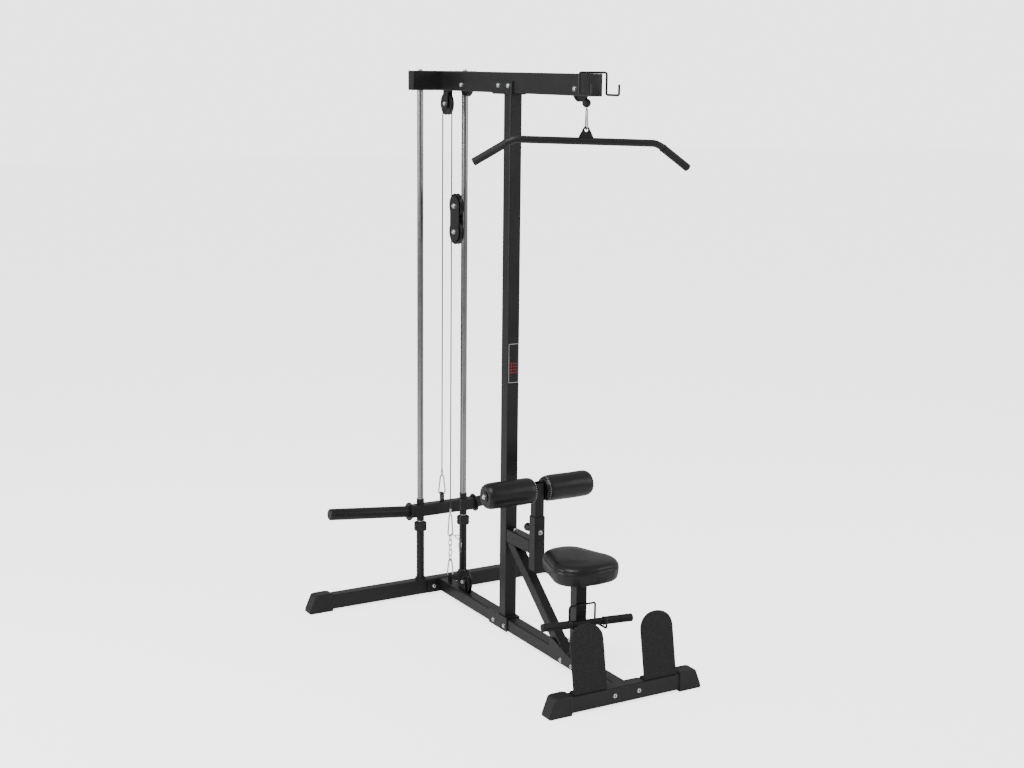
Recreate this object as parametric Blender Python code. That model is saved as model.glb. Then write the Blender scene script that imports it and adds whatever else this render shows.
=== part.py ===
"""Lat pulldown and low row tower, loaded with weight plates.

Metres, Z up, floor at z = 0. The machine is laid out with y = 0 on the front
face of the upright column; COLUMN_FACE_Y then slides it so that its footprint
is centred on the origin.
"""
import math

import bmesh
import bpy
from mathutils import Matrix, Vector

for existing in list(bpy.data.objects):
    bpy.data.objects.remove(existing, do_unlink=True)

# Clearances and stock sizes.
GAP = 0.0003
WALL = 0.0025
PLATE = 0.004
SLIP = 0.0006

# Overall layout.
HEIGHT = 2.140
REAR_HALF_SPAN = 0.608
FRONT_HALF_SPAN = 0.316
FRONT_FACE_Y = -0.805
ROD_Y = 0.5777
COLUMN_SIDE = 0.050

# Base frame.
BASE_SIDE = 0.050
BASE_TOP = 0.064
BASE_JOINT_Y = -0.021
CROSSBEAM_DEPTH = 0.045
CROSSBEAM_HEIGHT = 0.060
CAP_WALL = 0.005
CAP_FLOOR = 0.007
REAR_CAP_LENGTH = 0.104
FRONT_CAP_LENGTH = 0.094

# Top frame.
TOP_BEAM_HEIGHT = 0.075
TOP_BEAM_FRONT_Y = -0.530
CROSSPIECE_HALF = 0.1415

# Guide rods and carriage.
ROD_RADIUS = 0.0125
ROD_WALL = 0.003
ROD_X = 0.100
POST_RADIUS = 0.016
POST_TOP = 0.277
BUFFER_RADIUS = 0.026
BUFFER_HEIGHT = 0.0343
BUSH_RADIUS = 0.0155
BUSH_BOTTOM = 0.3202
BUSH_HEIGHT = 0.0903
BAR_HEIGHT = 0.050
BAR_DEPTH = 0.040
CARRIAGE_Z = 0.363
SLEEVE_ROOT = 0.1487
SLEEVE_RADIUS = 0.0232
SLEEVE_LENGTH = 0.360
SLEEVE_TILT = math.radians(5.4)
FLANGE_RADIUS = 0.0375

# Pulleys and cable.
CABLE_RADIUS = 0.0025
SMALL_GROOVE = 0.038
LARGE_GROOVE = 0.043
RIM = 0.0065
GROOVE_CLEARANCE = 0.0009
SHEAVE_THICKNESS = 0.014
AXLE_RADIUS = 0.005
CLIP_RADIUS = 0.003
EYE_RADIUS = 0.0065
TOP_PULLEY_Z = HEIGHT - 0.051
FRONT_PULLEY = (-0.435, TOP_PULLEY_Z)
MIDDLE_PULLEY = (0.3777, TOP_PULLEY_Z)
BLOCK_Z = HEIGHT - 0.572
BLOCK_SPACING = 2 * (LARGE_GROOVE + RIM) + 0.003
ROW_RUN_Z = 0.056
ROW_FRONT_Y = -0.5575

# Seat, thigh rollers and foot rests.
SEAT_POST_SIDE = 0.045
SEAT_POST_FRONT = -0.507
SEAT_BOTTOM = 0.3650
SEAT_THICKNESS = 0.082
SEAT_FRONT_Y = -0.616
SEAT_REAR_Y = -0.324
SEAT_HALF_FRONT = 0.131
SEAT_HALF_REAR = 0.092
STRUT_BOTTOM = 0.370
STRUT_TOP = 0.422
ROLLER_SLEEVE_FRONT = -0.211
ROLLER_SLEEVE_SIDE = 0.045
ROLLER_Z = 0.620
ROLLER_RADIUS = 0.050
ROLLER_LENGTH = 0.203
ROLLER_POST_SIDE = 0.038
PIN_Z = 0.459
PIN_PITCH = 0.025
FOOTREST_WIDTH = 0.133
FOOTREST_HEIGHT = 0.235
FOOTREST_X = 0.145
FOOTREST_LEAN = math.radians(10.0)

# Handles.
LAT_BAR_RADIUS = 0.0125
LAT_BAR_Z = HEIGHT - 0.226
LAT_BAR_HALF = 0.254
LAT_BAR_END = 0.155
LAT_BAR_BEND = math.radians(35.5)
LAT_BAR_YAW = math.radians(-18.0)
LAT_BAR_TILT = math.radians(1.6)
LAT_BAR_SPIN = math.radians(23.0)
ROW_BAR_HALF = 0.175
ROW_BAR_Y = -0.545
ROW_BAR_YAW = math.radians(-9.0)
ROW_BAR_SPIN = math.radians(25.0)
HOOK_RADIUS = 0.004
HOOK_HALF = 0.0545
HOOK_UP_Y = -0.588
HOOK_DROP = 0.074
LOW_HOOK_Z = 0.270

# Derived positions.
REAR_FACE_Y = ROD_Y - CROSSBEAM_DEPTH / 2
COLUMN_FACE_Y = -(FRONT_FACE_Y - CAP_WALL + ROD_Y + FLANGE_RADIUS) / 2
SHIFT = Vector((0.0, COLUMN_FACE_Y, 0.0))
TOP_BEAM_BOTTOM = HEIGHT - TOP_BEAM_HEIGHT
CROSSBEAM_TOP = CAP_FLOOR + CROSSBEAM_HEIGHT
CROSSBEAM_Z = CAP_FLOOR + CROSSBEAM_HEIGHT / 2
LAT_DROP_Y = FRONT_PULLEY[0] - SMALL_GROOVE
BLOCK_FRONT_Y = MIDDLE_PULLEY[0] + SMALL_GROOVE
BLOCK_Y = BLOCK_FRONT_Y + LARGE_GROOVE
BLOCK_REAR_Y = BLOCK_Y + LARGE_GROOVE
REAR_PULLEY = ((BLOCK_REAR_Y + ROD_Y) / 2, TOP_BEAM_BOTTOM - 0.0511)
REAR_PULLEY_GROOVE = (ROD_Y - BLOCK_REAR_Y) / 2
BLOCK_UPPER = (BLOCK_Y, BLOCK_Z + BLOCK_SPACING / 2)
BLOCK_LOWER = (BLOCK_Y, BLOCK_Z - BLOCK_SPACING / 2)
ROW_REAR = (BLOCK_FRONT_Y - LARGE_GROOVE, ROW_RUN_Z + LARGE_GROOVE)
ROW_FRONT = (ROW_FRONT_Y, ROW_RUN_Z + SMALL_GROOVE)
LOW_HOOK_BOTTOM = LOW_HOOK_Z - HOOK_DROP
ROW_BAR_Z = LOW_HOOK_BOTTOM + HOOK_RADIUS + GAP + LAT_BAR_RADIUS
ROLLER_Y = ROLLER_SLEEVE_FRONT + ROLLER_SLEEVE_SIDE / 2
HOOK_DOWN_Y = SEAT_POST_FRONT - HOOK_RADIUS - GAP

FINISHES = {
    "frame_paint": ((0.022, 0.022, 0.024), 0.1, 0.42),
    "rod_chrome": ((0.78, 0.78, 0.80), 1.0, 0.12),
    "zinc": ((0.62, 0.63, 0.65), 1.0, 0.28),
    "cable": ((0.16, 0.16, 0.17), 0.6, 0.40),
    "nylon": ((0.016, 0.016, 0.017), 0.0, 0.35),
    "foot_plastic": ((0.020, 0.020, 0.022), 0.0, 0.55),
    "rubber": ((0.012, 0.012, 0.013), 0.0, 0.80),
    "upholstery": ((0.014, 0.014, 0.015), 0.0, 0.38),
}


# --- building blocks ---------------------------------------------------------

def to_object(bm):
    """Turn a bmesh into a plain object, normals outwards."""
    bmesh.ops.recalc_face_normals(bm, faces=bm.faces)
    mesh = bpy.data.meshes.new("shape")
    bm.to_mesh(mesh)
    bm.free()
    obj = bpy.data.objects.new("shape", mesh)
    bpy.context.collection.objects.link(obj)
    return obj


def combine(base, tools, operation):
    """Join tools to base, or cut them out of it, and bake the result."""
    for tool in tools:
        modifier = base.modifiers.new("combine", "BOOLEAN")
        modifier.operation = operation
        modifier.solver = "EXACT"
        modifier.object = tool
        bpy.context.view_layer.update()
        evaluated = base.evaluated_get(bpy.context.evaluated_depsgraph_get())
        mesh = bpy.data.meshes.new_from_object(evaluated)
        bm = bmesh.new()
        bm.from_mesh(mesh)
        bmesh.ops.remove_doubles(bm, verts=bm.verts, dist=0.00002)
        bmesh.ops.dissolve_degenerate(bm, edges=bm.edges, dist=0.00002)
        bm.to_mesh(mesh)
        bm.free()
        base.modifiers.clear()
        base.data = mesh
        bpy.data.objects.remove(tool, do_unlink=True)
    return base


def join(base, *tools):
    return combine(base, tools, "UNION")


def cut(base, *tools):
    return combine(base, tools, "DIFFERENCE")


def place(point, axis, offset):
    """A profile point in the plane square to the axis, as a 3-D point."""
    u, v = point
    if axis == "X":
        return Vector((offset, u, v))
    if axis == "Y":
        return Vector((u, offset, v))
    return Vector((u, v, offset))


def rectangle(u0, u1, v0, v1, radius=0.0, steps=3):
    """Rectangle outline with rounded corners."""
    if radius <= 0.0:
        return [(u0, v0), (u1, v0), (u1, v1), (u0, v1)]
    corners = (
        (u1 - radius, v0 + radius, -90),
        (u1 - radius, v1 - radius, 0),
        (u0 + radius, v1 - radius, 90),
        (u0 + radius, v0 + radius, 180),
    )
    outline = []
    for cu, cv, start in corners:
        for step in range(steps + 1):
            angle = math.radians(start + 90.0 * step / steps)
            outline.append((cu + radius * math.cos(angle), cv + radius * math.sin(angle)))
    return outline


def prism(outline, axis, low, high):
    """Solid prism of an outline between two offsets on an axis."""
    bm = bmesh.new()
    bottom = [bm.verts.new(place(point, axis, low)) for point in outline]
    top = [bm.verts.new(place(point, axis, high)) for point in outline]
    bm.faces.new(bottom)
    bm.faces.new(top)
    count = len(outline)
    for index in range(count):
        after = (index + 1) % count
        bm.faces.new((bottom[index], bottom[after], top[after], top[index]))
    return to_object(bm)


def box(x0, x1, y0, y1, z0, z1):
    return prism([(x0, y0), (x1, y0), (x1, y1), (x0, y1)], "Z", z0, z1)


def hollow(u0, u1, v0, v1, axis, low, high, radius=0.004, wall=WALL, slant=0.0):
    """Rectangular steel tube, open at both ends; slant tips the ends over v."""
    outer = rectangle(u0, u1, v0, v1, radius, 2)
    inner = rectangle(u0 + wall, u1 - wall, v0 + wall, v1 - wall, radius - wall + 0.0005, 2)
    middle = (v0 + v1) / 2
    bm = bmesh.new()
    rings = []
    for outline in (outer, inner):
        for offset, sign in ((low, -1.0), (high, 1.0)):
            ring = []
            for point in outline:
                along = offset - sign * (point[1] - middle) * slant
                ring.append(bm.verts.new(place(point, axis, along)))
            rings.append(ring)
    outer_low, outer_high, inner_low, inner_high = rings
    count = len(outer)
    for index in range(count):
        after = (index + 1) % count
        bm.faces.new((outer_low[index], outer_low[after], outer_high[after], outer_high[index]))
        bm.faces.new((inner_low[index], inner_high[index], inner_high[after], inner_low[after]))
        bm.faces.new((outer_low[index], inner_low[index], inner_low[after], outer_low[after]))
        bm.faces.new((outer_high[index], outer_high[after], inner_high[after], inner_high[index]))
    return to_object(bm)


def lathe(profile, axis, centre, segments=24):
    """Turn a profile of (radius, offset) points round an axis through centre.

    A profile whose first and last points lie on the axis gives a solid; any
    other profile is closed on itself and gives a ring.
    """
    bm = bmesh.new()
    solid = profile[0][0] == 0.0
    turns = {
        "X": Matrix.Rotation(math.radians(90.0), 4, "Y"),
        "Y": Matrix.Rotation(math.radians(-90.0), 4, "X"),
        "Z": Matrix.Identity(4),
    }
    frame = Matrix.Translation(Vector(centre)) @ turns[axis]
    rings = []
    for radius, offset in profile:
        if radius == 0.0:
            rings.append([bm.verts.new(frame @ Vector((0.0, 0.0, offset)))])
            continue
        ring = []
        for step in range(segments):
            angle = 2.0 * math.pi * step / segments
            spot = Vector((radius * math.cos(angle), radius * math.sin(angle), offset))
            ring.append(bm.verts.new(frame @ spot))
        rings.append(ring)
    pairs = list(zip(rings, rings[1:]))
    if not solid:
        pairs.append((rings[-1], rings[0]))
    for first, second in pairs:
        for step in range(segments):
            after = (step + 1) % segments
            if len(first) == 1:
                bm.faces.new((first[0], second[step], second[after]))
            elif len(second) == 1:
                bm.faces.new((first[step], second[0], first[after]))
            else:
                bm.faces.new((first[step], second[step], second[after], first[after]))
    return to_object(bm)


def cylinder(radius, axis, centre, low, high, segments=24, bevel=0.0):
    """Solid cylinder between two offsets from centre, edges eased by bevel."""
    profile = [(0.0, low)]
    if bevel > 0.0:
        profile += [(radius - bevel, low), (radius, low + bevel)]
        profile += [(radius, high - bevel), (radius - bevel, high)]
    else:
        profile += [(radius, low), (radius, high)]
    profile.append((0.0, high))
    return lathe(profile, axis, centre, segments)


def bolt_head(axis, centre, side, sunk=0.002, radius=0.0075, height=0.0045):
    """Domed bolt head with its washer, sunk a little into the face it clamps."""
    profile = [(0.0, -sunk * side), (radius + 0.0015, -sunk * side)]
    profile += [(radius + 0.0010, 0.0012 * side), (radius * 0.75, height * side)]
    profile += [(0.0, height * side)]
    return lathe(profile, axis, centre, 10)


def rod(points, radius, resolution=2, closed=False):
    """Round bar or cable bent through a run of points."""
    curve = bpy.data.curves.new("rod", "CURVE")
    curve.dimensions = "3D"
    curve.bevel_depth = radius
    curve.bevel_resolution = resolution
    curve.use_fill_caps = not closed
    spline = curve.splines.new("POLY")
    spline.points.add(len(points) - 1)
    for point, spot in zip(spline.points, points):
        point.co = (spot[0], spot[1], spot[2], 1.0)
    spline.use_cyclic_u = closed
    holder = bpy.data.objects.new("rod", curve)
    bpy.context.collection.objects.link(holder)
    bpy.context.view_layer.update()
    evaluated = holder.evaluated_get(bpy.context.evaluated_depsgraph_get())
    bm = bmesh.new()
    bm.from_mesh(bpy.data.meshes.new_from_object(evaluated))
    bmesh.ops.remove_doubles(bm, verts=bm.verts, dist=0.00001)
    bpy.data.objects.remove(holder, do_unlink=True)
    return to_object(bm)


def arc(centre, radius, start, end, steps):
    """Points on an arc in the plane x = 0, angles in degrees from +Y to +Z."""
    points = []
    for step in range(steps + 1):
        angle = math.radians(start + (end - start) * step / steps)
        y = centre[0] + radius * math.cos(angle)
        z = centre[1] + radius * math.sin(angle)
        points.append((0.0, y, z))
    return points


def ring_path(centre, half_width, half_height, plane, steps=5):
    """Closed stadium path: half circles of half_width joined by straight legs."""
    straight = half_height - half_width
    path = []
    for base, sign in ((0.0, 1.0), (180.0, -1.0)):
        for step in range(steps + 1):
            angle = math.radians(base + 180.0 * step / steps)
            across = half_width * math.cos(angle)
            up = half_width * math.sin(angle) + sign * straight
            if plane == "XZ":
                path.append((centre[0] + across, centre[1], centre[2] + up))
            else:
                path.append((centre[0], centre[1] + across, centre[2] + up))
    return path


def finish(obj, name, slot, origin=(0.0, 0.0, 0.0), smooth_angle=35.0):
    """Name a piece, set its origin and place it in the machine."""
    origin = Vector(origin)
    obj.name = name
    obj.data.name = name
    obj.data.transform(Matrix.Translation(-origin))
    obj.location = origin + SHIFT
    for polygon in obj.data.polygons:
        polygon.use_smooth = True
    obj.data.set_sharp_from_angle(angle=math.radians(smooth_angle))
    colour, metallic, roughness = FINISHES[slot]
    material = bpy.data.materials.new(name + "_" + slot)
    material.use_nodes = True
    shader = material.node_tree.nodes["Principled BSDF"]
    shader.inputs["Base Color"].default_value = (*colour, 1.0)
    shader.inputs["Metallic"].default_value = metallic
    shader.inputs["Roughness"].default_value = roughness
    obj.data.materials.clear()
    obj.data.materials.append(material)
    return obj


# --- base: two cross-beams, a long beam in two lengths, four plastic feet -----

def crossbeam(face_y, half_span, cap_length):
    """Cross-beam tube running into the feet at both ends."""
    reach = half_span - cap_length * 0.35
    return hollow(
        face_y, face_y + CROSSBEAM_DEPTH, CAP_FLOOR, CROSSBEAM_TOP, "X", -reach, reach
    )


def foot_cap(name, face_y, half_span, cap_length, side):
    """Plastic foot that slips over the end of a cross-beam, its end sloping out."""
    start = half_span - cap_length
    slope = cap_length * 0.28
    y0 = face_y - CAP_WALL
    y1 = face_y + CROSSBEAM_DEPTH + CAP_WALL
    top = CROSSBEAM_TOP + CAP_WALL
    outline = [
        (side * start, 0.0),
        (side * (half_span - 0.004), 0.0),
        (side * half_span, 0.005),
        (side * (half_span - 0.002), 0.016),
        (side * (half_span - slope + 0.004), top - 0.004),
        (side * (half_span - slope), top + 0.0005),
        (side * (half_span - slope - 0.012), top + 0.003),
        (side * (start + 0.018), top + 0.003),
        (side * start, top),
    ]
    body = prism(outline, "Y", y0, y1)
    bevel = body.modifiers.new("ease", "BEVEL")
    bevel.width = 0.004
    bevel.segments = 2
    bevel.limit_method = "ANGLE"
    bevel.angle_limit = math.radians(50.0)
    reach = half_span - cap_length * 0.35 + GAP
    inner = sorted((side * (start - 0.010), side * reach))
    pocket = prism(
        rectangle(
            face_y - GAP,
            face_y + CROSSBEAM_DEPTH + GAP,
            CAP_FLOOR - GAP,
            CROSSBEAM_TOP + GAP,
            0.004,
        ),
        "X",
        inner[0],
        inner[1],
    )
    finish(cut(body, pocket), name, "foot_plastic")


front_crossbeam = crossbeam(FRONT_FACE_Y, FRONT_HALF_SPAN, FRONT_CAP_LENGTH)
for bolt_x in (-0.050, 0.050):
    head = bolt_head("Y", (bolt_x, FRONT_FACE_Y, 0.039), -1.0)
    front_crossbeam = join(front_crossbeam, head)
finish(front_crossbeam, "front_crossbeam", "frame_paint")

rear_crossbeam = crossbeam(REAR_FACE_Y, REAR_HALF_SPAN, REAR_CAP_LENGTH)
finish(rear_crossbeam, "rear_crossbeam", "frame_paint")

for side, word in ((-1.0, "left"), (1.0, "right")):
    foot_cap("foot_cap_front_" + word, FRONT_FACE_Y, FRONT_HALF_SPAN, FRONT_CAP_LENGTH, side)
    foot_cap("foot_cap_rear_" + word, REAR_FACE_Y, REAR_HALF_SPAN, REAR_CAP_LENGTH, side)


def end_plate(y0, y1, bolt_y, bolt_side):
    """Bolting plate welded square across the end of a base beam."""
    plate = prism(rectangle(-0.080, 0.080, 0.0098, 0.065, 0.006), "Y", y0, y1)
    for bolt_x in (-0.050, 0.050):
        plate = join(plate, bolt_head("Y", (bolt_x, bolt_y, 0.0365), bolt_side))
    return plate


def slot_cutter(y, half_length, half_width, z0, z1):
    return box(-half_width, half_width, y - half_length, y + half_length, z0, z1)


HALF_BASE = BASE_SIDE / 2
BASE_BOTTOM = BASE_TOP - BASE_SIDE
SLOT_HALF_WIDTH = SHEAVE_THICKNESS / 2 + 0.003
ROW_SLOT_REAR = LARGE_GROOVE + RIM - 0.0055
ROW_SLOT_FRONT = SMALL_GROOVE + RIM - 0.0055

base_beam_rear = hollow(
    -HALF_BASE,
    HALF_BASE,
    BASE_BOTTOM,
    BASE_TOP,
    "Y",
    BASE_JOINT_Y + GAP / 2,
    REAR_FACE_Y - GAP - 0.002,
)
rear_plate = end_plate(REAR_FACE_Y - GAP - 0.005, REAR_FACE_Y - GAP, REAR_FACE_Y - GAP - 0.005, -1.0)
base_beam_rear = join(base_beam_rear, rear_plate)
base_beam_rear = cut(
    base_beam_rear,
    slot_cutter(ROW_REAR[0], ROW_SLOT_REAR, SLOT_HALF_WIDTH, BASE_TOP - 0.006, BASE_TOP + 0.010),
)
ANCHOR_LUG_TOP = 0.098
ANCHOR_HOLE_Z = ANCHOR_LUG_TOP - 0.012
anchor_lug = prism(
    rectangle(BLOCK_REAR_Y - 0.013, BLOCK_REAR_Y + 0.013, BASE_TOP - 0.0015, ANCHOR_LUG_TOP, 0.008),
    "X",
    -0.003,
    0.003,
)
anchor_lug = cut(
    anchor_lug,
    cylinder(EYE_RADIUS, "X", (0.0, BLOCK_REAR_Y, ANCHOR_HOLE_Z), -0.010, 0.010, 16),
)
finish(join(base_beam_rear, anchor_lug), "base_beam_rear", "frame_paint")

front_plate_y = FRONT_FACE_Y + CROSSBEAM_DEPTH + GAP
base_beam_front = hollow(
    -HALF_BASE,
    HALF_BASE,
    BASE_BOTTOM,
    BASE_TOP,
    "Y",
    front_plate_y + 0.002,
    BASE_JOINT_Y - GAP / 2,
)
front_plate = end_plate(front_plate_y, front_plate_y + 0.005, front_plate_y + 0.005, 1.0)
base_beam_front = join(base_beam_front, front_plate)
base_beam_front = cut(
    base_beam_front,
    slot_cutter(ROW_FRONT[0], ROW_SLOT_FRONT, SLOT_HALF_WIDTH, BASE_TOP - 0.006, BASE_TOP + 0.010),
)

GUSSET_OUTLINE = [
    (-0.530, BASE_BOTTOM + 0.0045),
    (-0.340, BASE_BOTTOM + 0.0045),
    (-0.335, BASE_BOTTOM + 0.008),
    (-0.335, 0.090),
    (-0.340, 0.095),
    (-0.362, 0.095),
    (-0.450, 0.066),
    (-0.505, 0.058),
    (-0.530, 0.056),
]
for side in (-1.0, 1.0):
    x0, x1 = sorted((side * (HALF_BASE - 0.0012), side * (HALF_BASE + PLATE)))
    base_beam_front = join(base_beam_front, prism(GUSSET_OUTLINE, "X", x0, x1))
    for bolt_y in (-0.418, -0.493):
        head = bolt_head("X", (side * (HALF_BASE + PLATE), bolt_y, 0.034), side)
        base_beam_front = join(base_beam_front, head)
finish(base_beam_front, "base_beam_front", "frame_paint")

# --- upright column with a U bracket at each end, and the top beam -------------

HALF_COLUMN = COLUMN_SIDE / 2
COLUMN_SUNK = 0.001
COLUMN_BOTTOM = BASE_TOP + GAP + PLATE - COLUMN_SUNK
COLUMN_TOP = TOP_BEAM_BOTTOM - GAP - PLATE + COLUMN_SUNK
DRAIN_RADIUS = 0.010


def column_bracket(beam_face, tip, y0, y1, bolt_z, bolt_ys):
    """U bracket on one end of the column: a floor plate and two side plates."""
    upward = 1.0 if tip > beam_face else -1.0
    inner = HALF_BASE + GAP
    outer = inner + PLATE
    floor_in = beam_face - upward * GAP
    floor_out = floor_in - upward * PLATE
    outline = [(-outer, floor_out), (outer, floor_out), (outer, tip), (inner, tip)]
    outline += [(inner, floor_in), (-inner, floor_in), (-inner, tip), (-outer, tip)]
    bracket = prism(outline, "Y", y0, y1)
    for side in (-1.0, 1.0):
        for bolt_y in bolt_ys:
            bracket = join(bracket, bolt_head("X", (side * outer, bolt_y, bolt_z), side))
    return bracket


column = hollow(-HALF_COLUMN, HALF_COLUMN, 0.0, COLUMN_SIDE, "Z", COLUMN_BOTTOM, COLUMN_TOP)
saddle_tip = HEIGHT - 0.032
saddle_bolt_z = HEIGHT - 0.048
saddle = column_bracket(
    TOP_BEAM_BOTTOM, saddle_tip, -0.019, 0.129, saddle_bolt_z, (0.010, 0.082)
)
shoe = column_bracket(BASE_TOP, 0.012, -0.019, 0.120, 0.033, (0.000, 0.082))
column = join(column, saddle, shoe)
for drain_z in (COLUMN_BOTTOM, COLUMN_TOP):
    drain = cylinder(DRAIN_RADIUS, "Z", (0.0, HALF_COLUMN, drain_z), -0.012, 0.012, 20)
    column = cut(column, drain)
finish(column, "column", "frame_paint")


def axle(centre, half_width, head=0.0075):
    """Pulley axle bolt with a head at each side face."""
    y, z = centre
    shaft = cylinder(AXLE_RADIUS, "X", (0.0, y, z), -half_width - 0.001, half_width + 0.001, 16)
    left = bolt_head("X", (-half_width, y, z), -1.0, radius=head)
    right = bolt_head("X", (half_width, y, z), 1.0, radius=head)
    return join(shaft, left, right)


HALF_TOP = BASE_SIDE / 2
top_beam = hollow(
    -HALF_TOP,
    HALF_TOP,
    TOP_BEAM_BOTTOM,
    HEIGHT,
    "Y",
    TOP_BEAM_FRONT_Y + 0.003,
    REAR_FACE_Y - GAP,
)
TOP_SLOT = SMALL_GROOVE + RIM + 0.0025
for pulley in (FRONT_PULLEY, MIDDLE_PULLEY):
    slot = slot_cutter(
        pulley[0], TOP_SLOT, SLOT_HALF_WIDTH, TOP_BEAM_BOTTOM - 0.010, TOP_BEAM_BOTTOM + 0.006
    )
    top_beam = cut(top_beam, slot)
    top_beam = join(top_beam, axle(pulley, HALF_TOP))
finish(top_beam, "top_beam", "frame_paint")

crosspiece = hollow(
    REAR_FACE_Y,
    REAR_FACE_Y + CROSSBEAM_DEPTH,
    TOP_BEAM_BOTTOM,
    HEIGHT,
    "X",
    -CROSSPIECE_HALF + 0.004,
    CROSSPIECE_HALF - 0.004,
)
for side in (-1.0, 1.0):
    hole = cylinder(
        ROD_RADIUS + SLIP, "Z", (side * ROD_X, ROD_Y, TOP_BEAM_BOTTOM), -0.010, 0.010
    )
    crosspiece = cut(crosspiece, hole)
    crosspiece = join(crosspiece, bolt_head("Z", (side * ROD_X, ROD_Y, HEIGHT), 1.0, radius=0.008))
finish(crosspiece, "top_crosspiece", "frame_paint")

# --- guide rods, their lower posts and rubber buffers ---------------------------

for side, word in ((-1.0, "left"), (1.0, "right")):
    foot = (side * ROD_X, ROD_Y, 0.0)
    rod_top = HEIGHT - WALL - GAP
    guide_rod = lathe(
        [
            (ROD_RADIUS - ROD_WALL, CROSSBEAM_TOP + GAP),
            (ROD_RADIUS, CROSSBEAM_TOP + GAP),
            (ROD_RADIUS, rod_top),
            (ROD_RADIUS - ROD_WALL, rod_top),
        ],
        "Z",
        foot,
    )
    finish(guide_rod, "guide_rod_" + word, "rod_chrome", foot)
    bore = ROD_RADIUS + GAP
    z0 = CROSSBEAM_TOP + GAP
    post = lathe(
        [
            (bore, z0),
            (0.022, z0),
            (0.022, z0 + 0.007),
            (POST_RADIUS, z0 + 0.009),
            (POST_RADIUS, POST_TOP),
            (bore, POST_TOP),
        ],
        "Z",
        foot,
    )
    finish(post, "rod_post_" + word, "frame_paint", foot)
    b0 = POST_TOP + GAP
    b1 = b0 + BUFFER_HEIGHT
    buffer = lathe(
        [
            (bore, b0),
            (BUFFER_RADIUS - 0.002, b0),
            (BUFFER_RADIUS, b0 + 0.002),
            (BUFFER_RADIUS, b0 + 0.014),
            (BUFFER_RADIUS - 0.0015, b0 + 0.0165),
            (BUFFER_RADIUS, b0 + 0.019),
            (BUFFER_RADIUS, b1 - 0.002),
            (BUFFER_RADIUS - 0.002, b1),
            (bore, b1),
        ],
        "Z",
        foot,
    )
    finish(buffer, "rod_buffer_" + word, "rubber", foot)

# --- weight carriage: bushes on the rods, cross-bar, hanging lug, plate sleeves -

CARRIAGE_ORIGIN = (0.0, ROD_Y, CARRIAGE_Z)
carriage = hollow(
    ROD_Y - BAR_DEPTH / 2,
    ROD_Y + BAR_DEPTH / 2,
    CARRIAGE_Z - BAR_HEIGHT / 2,
    CARRIAGE_Z + BAR_HEIGHT / 2,
    "X",
    -SLEEVE_ROOT + GAP,
    SLEEVE_ROOT - GAP,
    slant=math.tan(SLEEVE_TILT),
)
for side in (-1.0, 1.0):
    spot = (side * ROD_X, ROD_Y, BUSH_BOTTOM)
    carriage = join(carriage, cylinder(BUSH_RADIUS, "Z", spot, 0.0, BUSH_HEIGHT))
    carriage = cut(carriage, cylinder(ROD_RADIUS + SLIP, "Z", spot, -0.01, BUSH_HEIGHT + 0.01))
LUG_TOP = 0.4275
LUG_HOLE_Z = LUG_TOP - 0.0135
lug = prism(
    rectangle(ROD_Y - 0.015, ROD_Y + 0.015, CARRIAGE_Z + BAR_HEIGHT / 2 - 0.0015, LUG_TOP, 0.009),
    "X",
    -0.003,
    0.003,
)
lug = cut(lug, cylinder(EYE_RADIUS, "X", (0.0, ROD_Y, LUG_HOLE_Z), -0.01, 0.01, 16))
finish(join(carriage, lug), "weight_carriage", "frame_paint", CARRIAGE_ORIGIN)

for side, word in ((-1.0, "left"), (1.0, "right")):
    sleeve = lathe(
        [
            (0.0, SLEEVE_LENGTH),
            (SLEEVE_RADIUS - 0.004, SLEEVE_LENGTH),
            (SLEEVE_RADIUS, SLEEVE_LENGTH - 0.004),
            (SLEEVE_RADIUS, 0.006),
            (FLANGE_RADIUS - 0.001, 0.006),
            (FLANGE_RADIUS, 0.005),
            (FLANGE_RADIUS, 0.001),
            (FLANGE_RADIUS - 0.001, 0.0),
            (SLEEVE_RADIUS - 0.004, 0.0),
            (SLEEVE_RADIUS - 0.004, SLEEVE_LENGTH - 0.006),
            (0.0, SLEEVE_LENGTH - 0.006),
        ],
        "X",
        (0.0, 0.0, 0.0),
    )
    root = Vector((side * SLEEVE_ROOT, ROD_Y, CARRIAGE_Z))
    turn = Matrix.Rotation(-SLEEVE_TILT, 4, "Y")
    if side < 0.0:
        turn = Matrix.Rotation(SLEEVE_TILT, 4, "Y") @ Matrix.Rotation(math.pi, 4, "Z")
    sleeve.data.transform(Matrix.Translation(root) @ turn)
    finish(sleeve, "plate_sleeve_" + word, "frame_paint", root)

# --- pulleys and the brackets that carry them -----------------------------------

def sheave(name, centre, groove):
    """Nylon pulley wheel with a round groove, a hub and a shallow web."""
    rim = groove + RIM
    half = SHEAVE_THICKNESS / 2
    bore = AXLE_RADIUS + GAP
    bottom = groove - CABLE_RADIUS - GROOVE_CLEARANCE
    half_profile = [
        (bore, half),
        (rim - 0.001, half),
        (rim, half - 0.001),
        (bottom, CABLE_RADIUS + GAP),
    ]
    mirrored = [(radius, -offset) for radius, offset in reversed(half_profile)]
    y, z = centre
    finish(lathe(half_profile + mirrored, "X", (0.0, y, z), 32), name, "nylon", (0.0, y, z), 30.0)


sheave("lat_pulley_front", FRONT_PULLEY, SMALL_GROOVE)
sheave("lat_pulley_middle", MIDDLE_PULLEY, SMALL_GROOVE)
sheave("lat_pulley_rear", REAR_PULLEY, REAR_PULLEY_GROOVE)
sheave("block_pulley_upper", BLOCK_UPPER, LARGE_GROOVE)
sheave("block_pulley_lower", BLOCK_LOWER, LARGE_GROOVE)
sheave("row_pulley_rear", ROW_REAR, LARGE_GROOVE)
sheave("row_pulley_front", ROW_FRONT, SMALL_GROOVE)

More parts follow.
